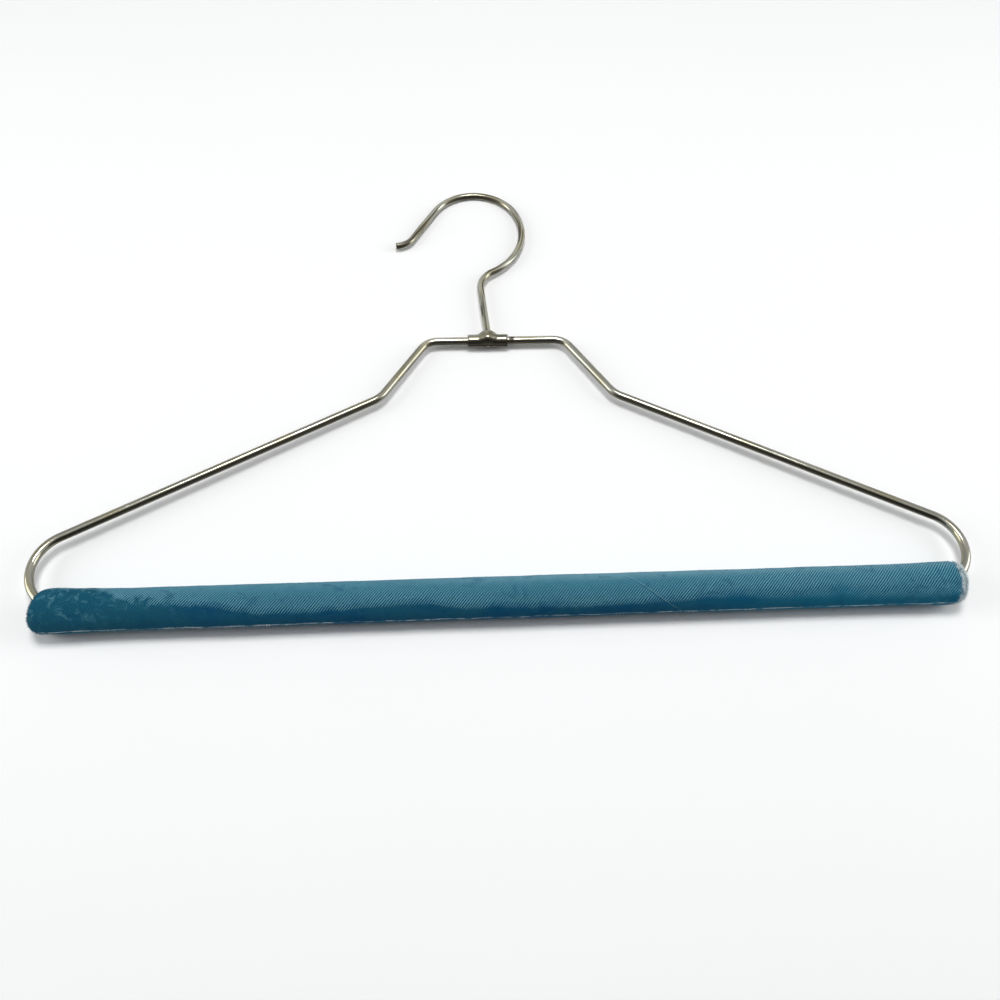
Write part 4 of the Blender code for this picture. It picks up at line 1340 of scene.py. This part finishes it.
class HANGER_OT_pile(bpy.types.Operator):
    """Set loose tufts of pile on the velvet, longer at its ends"""
    bl_idname = "hanger.pile"
    bl_label = "Pile Tufts"

    def execute(self, context):
        sizes = settings().velvet
        mesh = bpy.data.objects["velvet_bar_cover"].data
        faces = mesh.polygons
        centres = self.read(faces, "center", 3)
        normals = self.read(faces, "normal", 3)
        areas = self.read(faces, "area", 1)[:, 0]
        starts = self.read(faces, "loop_start", 1)[:, 0].astype(int)
        places = self.read(mesh.uv_layers["surface"].data, "uv", 2)[starts]
        along, across = bar_directions()
        away = centres - np.array(BAR_MIDDLE)
        x = away @ along
        reach = np.linalg.norm(away - x[:, None] * along, axis=1)
        left, right = bar_ends()
        from_end = np.minimum(x - left, right - x)
        outer = (reach > sizes.radius - OUTER_SHARE * sizes.thickness) | (from_end < sizes.end_rounding)
        free = outer & ((normals * away).sum(axis=1) > 0) & (centres[:, 2] > LOWEST_ROOT)
        near_left = smoothstep(*LEFT_TUFTS, x - left)
        near_right = smoothstep(*RIGHT_TUFTS, right - x)
        worn = smoothstep(-0.2, 0.4, wander(x / FRAY_LENGTH, x * 0))
        most = np.exp(-((x - FRAY_PLACE) / FRAY_SPREAD) ** 2)
        frayed = np.clip(FRAY_LEAST + FRAY_GAIN * worn + most, 0.0, FRAY_MOST)
        from_seam = sizes.seam_turn * sizes.radius - places[:, 1]
        at_seam = smoothstep(*SEAM_TUFTS, np.abs(from_seam)) * frayed
        density = PLAIN_DENSITY + LEFT_DENSITY * near_left + RIGHT_DENSITY * near_right
        density = np.where(free, density + SEAM_DENSITY * at_seam, 0.0)
        tall = SHORT_PILE + (sizes.left_pile - SHORT_PILE) * near_left
        tall = tall + (sizes.right_pile - SHORT_PILE) * near_right + (sizes.seam_pile - SHORT_PILE) * at_seam
        # Painted glow: how white the tips are, near the ends and along the frayed raw edge
        pale = PLAIN_GLOW_SHARE + LEFT_GLOW_SHARE * smoothstep(*LEFT_GLOW, x - left)
        pale = np.clip(pale + smoothstep(*RIGHT_GLOW, right - x) + at_seam, 0.0, FRAY_MOST)
        weights = areas * density
        draws = np.random.default_rng(7)
        total = int(weights.sum() / MM ** 2)
        skin = Skin()
        for index in draws.choice(len(faces), total, p=weights / weights.sum()):
            corners = [mesh.vertices[v].co for v in faces[int(index)].vertices[:3]]
            first, second = sorted(draws.random(2))
            root = corners[0] * first + corners[1] * (second - first) + corners[2] * (1 - second)
            upright = max(near_left[index], near_right[index])
            self.tuft(skin, root, Vector(normals[index]), tall[index], upright, pale[index], draws)
            skin.corners += [tuple(places[index])] * TUFT_CORNERS
        pile = skin.make("velvet_pile")
        dress(pile, Velvet("velvet_pile_tips", tips=True).material, "frame", math.pi)
        return {"FINISHED"}

    def read(self, items, name, size):
        """One value of every item, as rows."""
        values = np.zeros(len(items) * size)
        items.foreach_get(name, values)
        return values.reshape(-1, size)

    def tuft(self, skin, root, normal, tall, upright, pale, draws):
        """One closed three-sided spike that leans with the pile. Upright ones are stiffer and lean less."""
        tall = tall * draws.uniform(*LENGTH_DRAW)
        wide = (TUFT_RADIUS + TUFT_STIFF_RADIUS * upright) * MM * draws.uniform(*RADIUS_DRAW)
        lay = TUFT_LAY + Vector(draws.normal(0, 1, 3).tolist()) * TUFT_STRAY
        lay = (lay - normal * lay.dot(normal)).normalized()
        beside = normal.cross(lay).normalized()
        lean = draws.uniform(*LEAN_DRAW) * (1 - TUFT_STIFFNESS * upright)
        middle = root + normal * tall * TUFT_KNEE + lay * tall * KNEE_LEAN * lean
        tip_height = TIP_HEIGHT - TIP_DROP * min(lean, 1.0)
        tip = root + normal * tall * tip_height + lay * tall * TIP_LEAN * lean
        base = root - normal * ROOT_DEPTH * MM
        first = len(skin.points)
        for centre, size in ((base, wide), (middle, wide * KNEE_RADIUS_SHARE)):
            for side in range(TUFT_SIDES):
                angle = 2 * math.pi * side / TUFT_SIDES
                point = centre + (lay * math.cos(angle) + beside * math.sin(angle)) * size
                skin.points.append((point.x, point.y, max(point.z, LOWEST_TUFT)))
        skin.points.append((tip.x, tip.y, max(tip.z, LOWEST_TUFT)))
        tip_glow = float(np.clip(pale * draws.uniform(*GLOW_DRAW), 0.0, 1.0))
        low, knee, high = (0.0, tip_glow), (TUFT_KNEE, tip_glow), (1.0, tip_glow)
        for side in range(TUFT_SIDES):
            after = (side + 1) % TUFT_SIDES
            skin.faces.append((first + side, first + after, first + 3 + after, first + 3 + side))
            skin.faces.append((first + 3 + side, first + 3 + after, first + 6))
            skin.heights += [low, low, knee, knee, knee, knee, high]
        skin.faces.append((first + 2, first + 1, first))
        skin.heights += [low] * TUFT_SIDES


class HANGER_OT_filling(bpy.types.Operator):
    """Wrap the wadding round the core, and give the core halves their wood"""
    bl_idname = "hanger.filling"
    bl_label = "Wadding and Core"

    def execute(self, context):
        sizes = settings().velvet
        filling = settings().filling
        inset = sizes.thickness + filling.layer_gap
        rounding = sizes.end_rounding - inset
        layer = plain_layer(inset, inset + sizes.gather_depth, rounding, WADDING_STEP, WADDING_SIDES,
                            MATTED_DEPTH)
        wadding = layer.make("polyester_wadding")
        cut(wadding, core_space(filling.layer_gap).make("core_space"))
        cut(wadding, loop_skin(filling.layer_gap).make("wadding_entries"))
        dress(wadding, wadding_finish(), "frame", CLOTH_SHARP_TURN)
        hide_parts("bar_wadding")
        wood = wood_finish()
        for name in ("core_half_upper", "core_half_lower"):
            core = frame["nodes"][name]
            core.data.materials.clear()
            core.data.materials.append(wood)
        return {"FINISHED"}


# Lamps: place, size and power
LAMPS = {
    "key_light": ((0.0, 0.12, 1.30), (0.42, 0.42), 9.8),
    "left_panel": ((-1.0, -0.05, 0.52), (0.55, 0.80), 4.4),
    "right_panel": ((1.0, -0.05, 0.52), (0.55, 0.80), 4.4),
}
LAMP_AIM = Vector((0, -0.03, 0))

# The table, and the dark card: half its width, its place and the heights of its edges
TABLE_HALF = 8.0
TABLE_CLOUDS = ((6.0, 6.0, 6.0), 3.0)
CARD_HALF = 0.62
CARD_PLACE = -0.72
CARD_HEIGHTS = (0.01, 0.86)
FILL_COLOUR = (0.97, 0.99, 1.0, 1.0)
WHITE = (1.0, 1.0, 1.0, 1.0)


class HANGER_OT_stage(bpy.types.Operator):
    """Set out the table, the lamps and the camera"""
    bl_idname = "hanger.stage"
    bl_label = "Studio"

    def execute(self, context):
        self.table()
        for name, (place, size, power) in LAMPS.items():
            self.lamp(name, place, size, power)
        self.flag()
        self.world()
        self.camera()
        context.scene.view_settings.view_transform = "Standard"
        return {"FINISHED"}

    def table(self):
        """A wide pale table."""
        corners = [(x * TABLE_HALF, y * TABLE_HALF, 0) for x, y in ((-1, -1), (1, -1), (1, 1), (-1, 1))]
        table = flat_piece("table", corners)
        finish = Finish("table_top")
        place = finish.node("ShaderNodeTexCoord").outputs["Object"]
        cloudy = finish.noise(place, TABLE_CLOUDS)
        colour = settings().stage.table
        dim = tuple(part * 0.985 for part in colour)
        finish.set(Base_Color=finish.mix(cloudy, dim, colour), Roughness=0.6, Specular_IOR_Level=0.2)
        table.data.materials.append(finish.material)

    def lamp(self, name, place, size, power):
        """A soft rectangular lamp, aimed at the hanger."""
        data = bpy.data.lights.new(name, "AREA")
        data.shape = "RECTANGLE"
        data.size, data.size_y = size
        data.energy = power
        lamp = link(name, data)
        lamp.location = place
        aim = LAMP_AIM - lamp.location
        lamp.rotation_euler = aim.to_track_quat("-Z", "Y").to_euler()

    def flag(self):
        """A wide dark card behind the camera, which gives the wire its dark reflections."""
        low, high = CARD_HEIGHTS
        corners = [(-CARD_HALF, CARD_PLACE, low), (CARD_HALF, CARD_PLACE, low),
                   (CARD_HALF, CARD_PLACE, high), (-CARD_HALF, CARD_PLACE, high)]
        card = flat_piece("dark_card", corners)
        finish = Finish("black_cloth")
        finish.set(Base_Color=(0.03, 0.03, 0.03), Roughness=0.9)
        card.data.materials.append(finish.material)
        card.visible_camera = False
        card.visible_shadow = False

    def world(self):
        """Even light from all round, and a white background behind the table."""
        world = bpy.data.worlds.new("studio")
        world.use_nodes = True
        tree = world.node_tree
        tree.nodes.clear()
        output = tree.nodes.new("ShaderNodeOutputWorld")
        mix = tree.nodes.new("ShaderNodeMixShader")
        tree.links.new(mix.outputs[0], output.inputs["Surface"])
        strengths = ((FILL_COLOUR, settings().stage.sky), (WHITE, 1.0))
        for socket, (colour, strength) in zip(mix.inputs[1:], strengths):
            light = tree.nodes.new("ShaderNodeBackground")
            light.inputs["Color"].default_value = colour
            light.inputs["Strength"].default_value = strength
            tree.links.new(light.outputs[0], socket)
        rays = tree.nodes.new("ShaderNodeLightPath")
        seen = rays.outputs["Is Camera Ray"]
        for kind in ("Is Glossy Ray", "Is Transmission Ray"):
            either = tree.nodes.new("ShaderNodeMath")
            either.operation = "MAXIMUM"
            tree.links.new(seen, either.inputs[0])
            tree.links.new(rays.outputs[kind], either.inputs[1])
            seen = either.outputs[0]
        tree.links.new(seen, mix.inputs[0])
        bpy.context.scene.world = world

    def camera(self):
        """The camera, above the front of the table."""
        stage = settings().stage
        data = bpy.data.cameras.new("camera")
        data.lens = stage.lens / MM
        data.sensor_width = stage.sensor / MM
        data.clip_start = 0.01
        camera = link("camera", data)
        heading = Vector((math.sin(stage.azimuth) * math.cos(stage.elevation),
                          math.cos(stage.azimuth) * math.cos(stage.elevation), -math.sin(stage.elevation)))
        right = heading.cross(Vector((0, 0, 1))).normalized()
        above = right.cross(heading)
        tilted = right * math.cos(stage.roll) + above * math.sin(stage.roll)
        above = above * math.cos(stage.roll) - right * math.sin(stage.roll)
        basis = Matrix((tilted, above, -heading)).transposed().to_4x4()
        camera.matrix_world = Matrix.Translation(Vector(stage.aim) - heading * stage.distance) @ basis
        bpy.context.scene.camera = camera


STEPS = (HANGER_OT_frame_wire, HANGER_OT_collar, HANGER_OT_hook, HANGER_OT_velvet, HANGER_OT_pile,
         HANGER_OT_filling, HANGER_OT_stage)


class HANGER_PT_sidebar(bpy.types.Panel):
    """Lists the hanger's pieces"""
    bl_idname = "HANGER_PT_sidebar"
    bl_label = "Velvet Hanger"
    bl_space_type = "VIEW_3D"
    bl_region_type = "UI"
    bl_category = "Hanger"

    def draw(self, context):
        column = self.layout.column(align=True)
        for step in STEPS:
            column.operator(step.bl_idname)
        for group in ("wire", "hook", "collar", "nickel", "velvet", "filling", "stage"):
            box = self.layout.box()
            values = getattr(context.scene.hanger, group)
            box.label(text=group.title())
            for name in values.bl_rna.properties.keys():
                if name not in ("rna_type", "name"):
                    box.prop(values, name)


GROUPS = (HangerWire, HangerHook, HangerCollar, HangerNickel, HangerVelvet, HangerFilling, HangerStage,
          HangerSettings)


def register():
    """Register the classes and the scene's settings."""
    for item in GROUPS + STEPS + (HANGER_PT_sidebar,):
        bpy.utils.register_class(item)
    bpy.types.Scene.hanger = PointerProperty(type=HangerSettings)


def unregister():
    """Undo register."""
    del bpy.types.Scene.hanger
    for item in reversed(GROUPS + STEPS + (HANGER_PT_sidebar,)):
        bpy.utils.unregister_class(item)


def main():
    """Make every piece in order."""
    register()
    bpy.ops.hanger.frame_wire()
    bpy.ops.hanger.collar()
    bpy.ops.hanger.hook()
    bpy.ops.hanger.velvet()
    bpy.ops.hanger.pile()
    bpy.ops.hanger.filling()
    bpy.ops.hanger.stage()


if __name__ == "__main__":
    main()
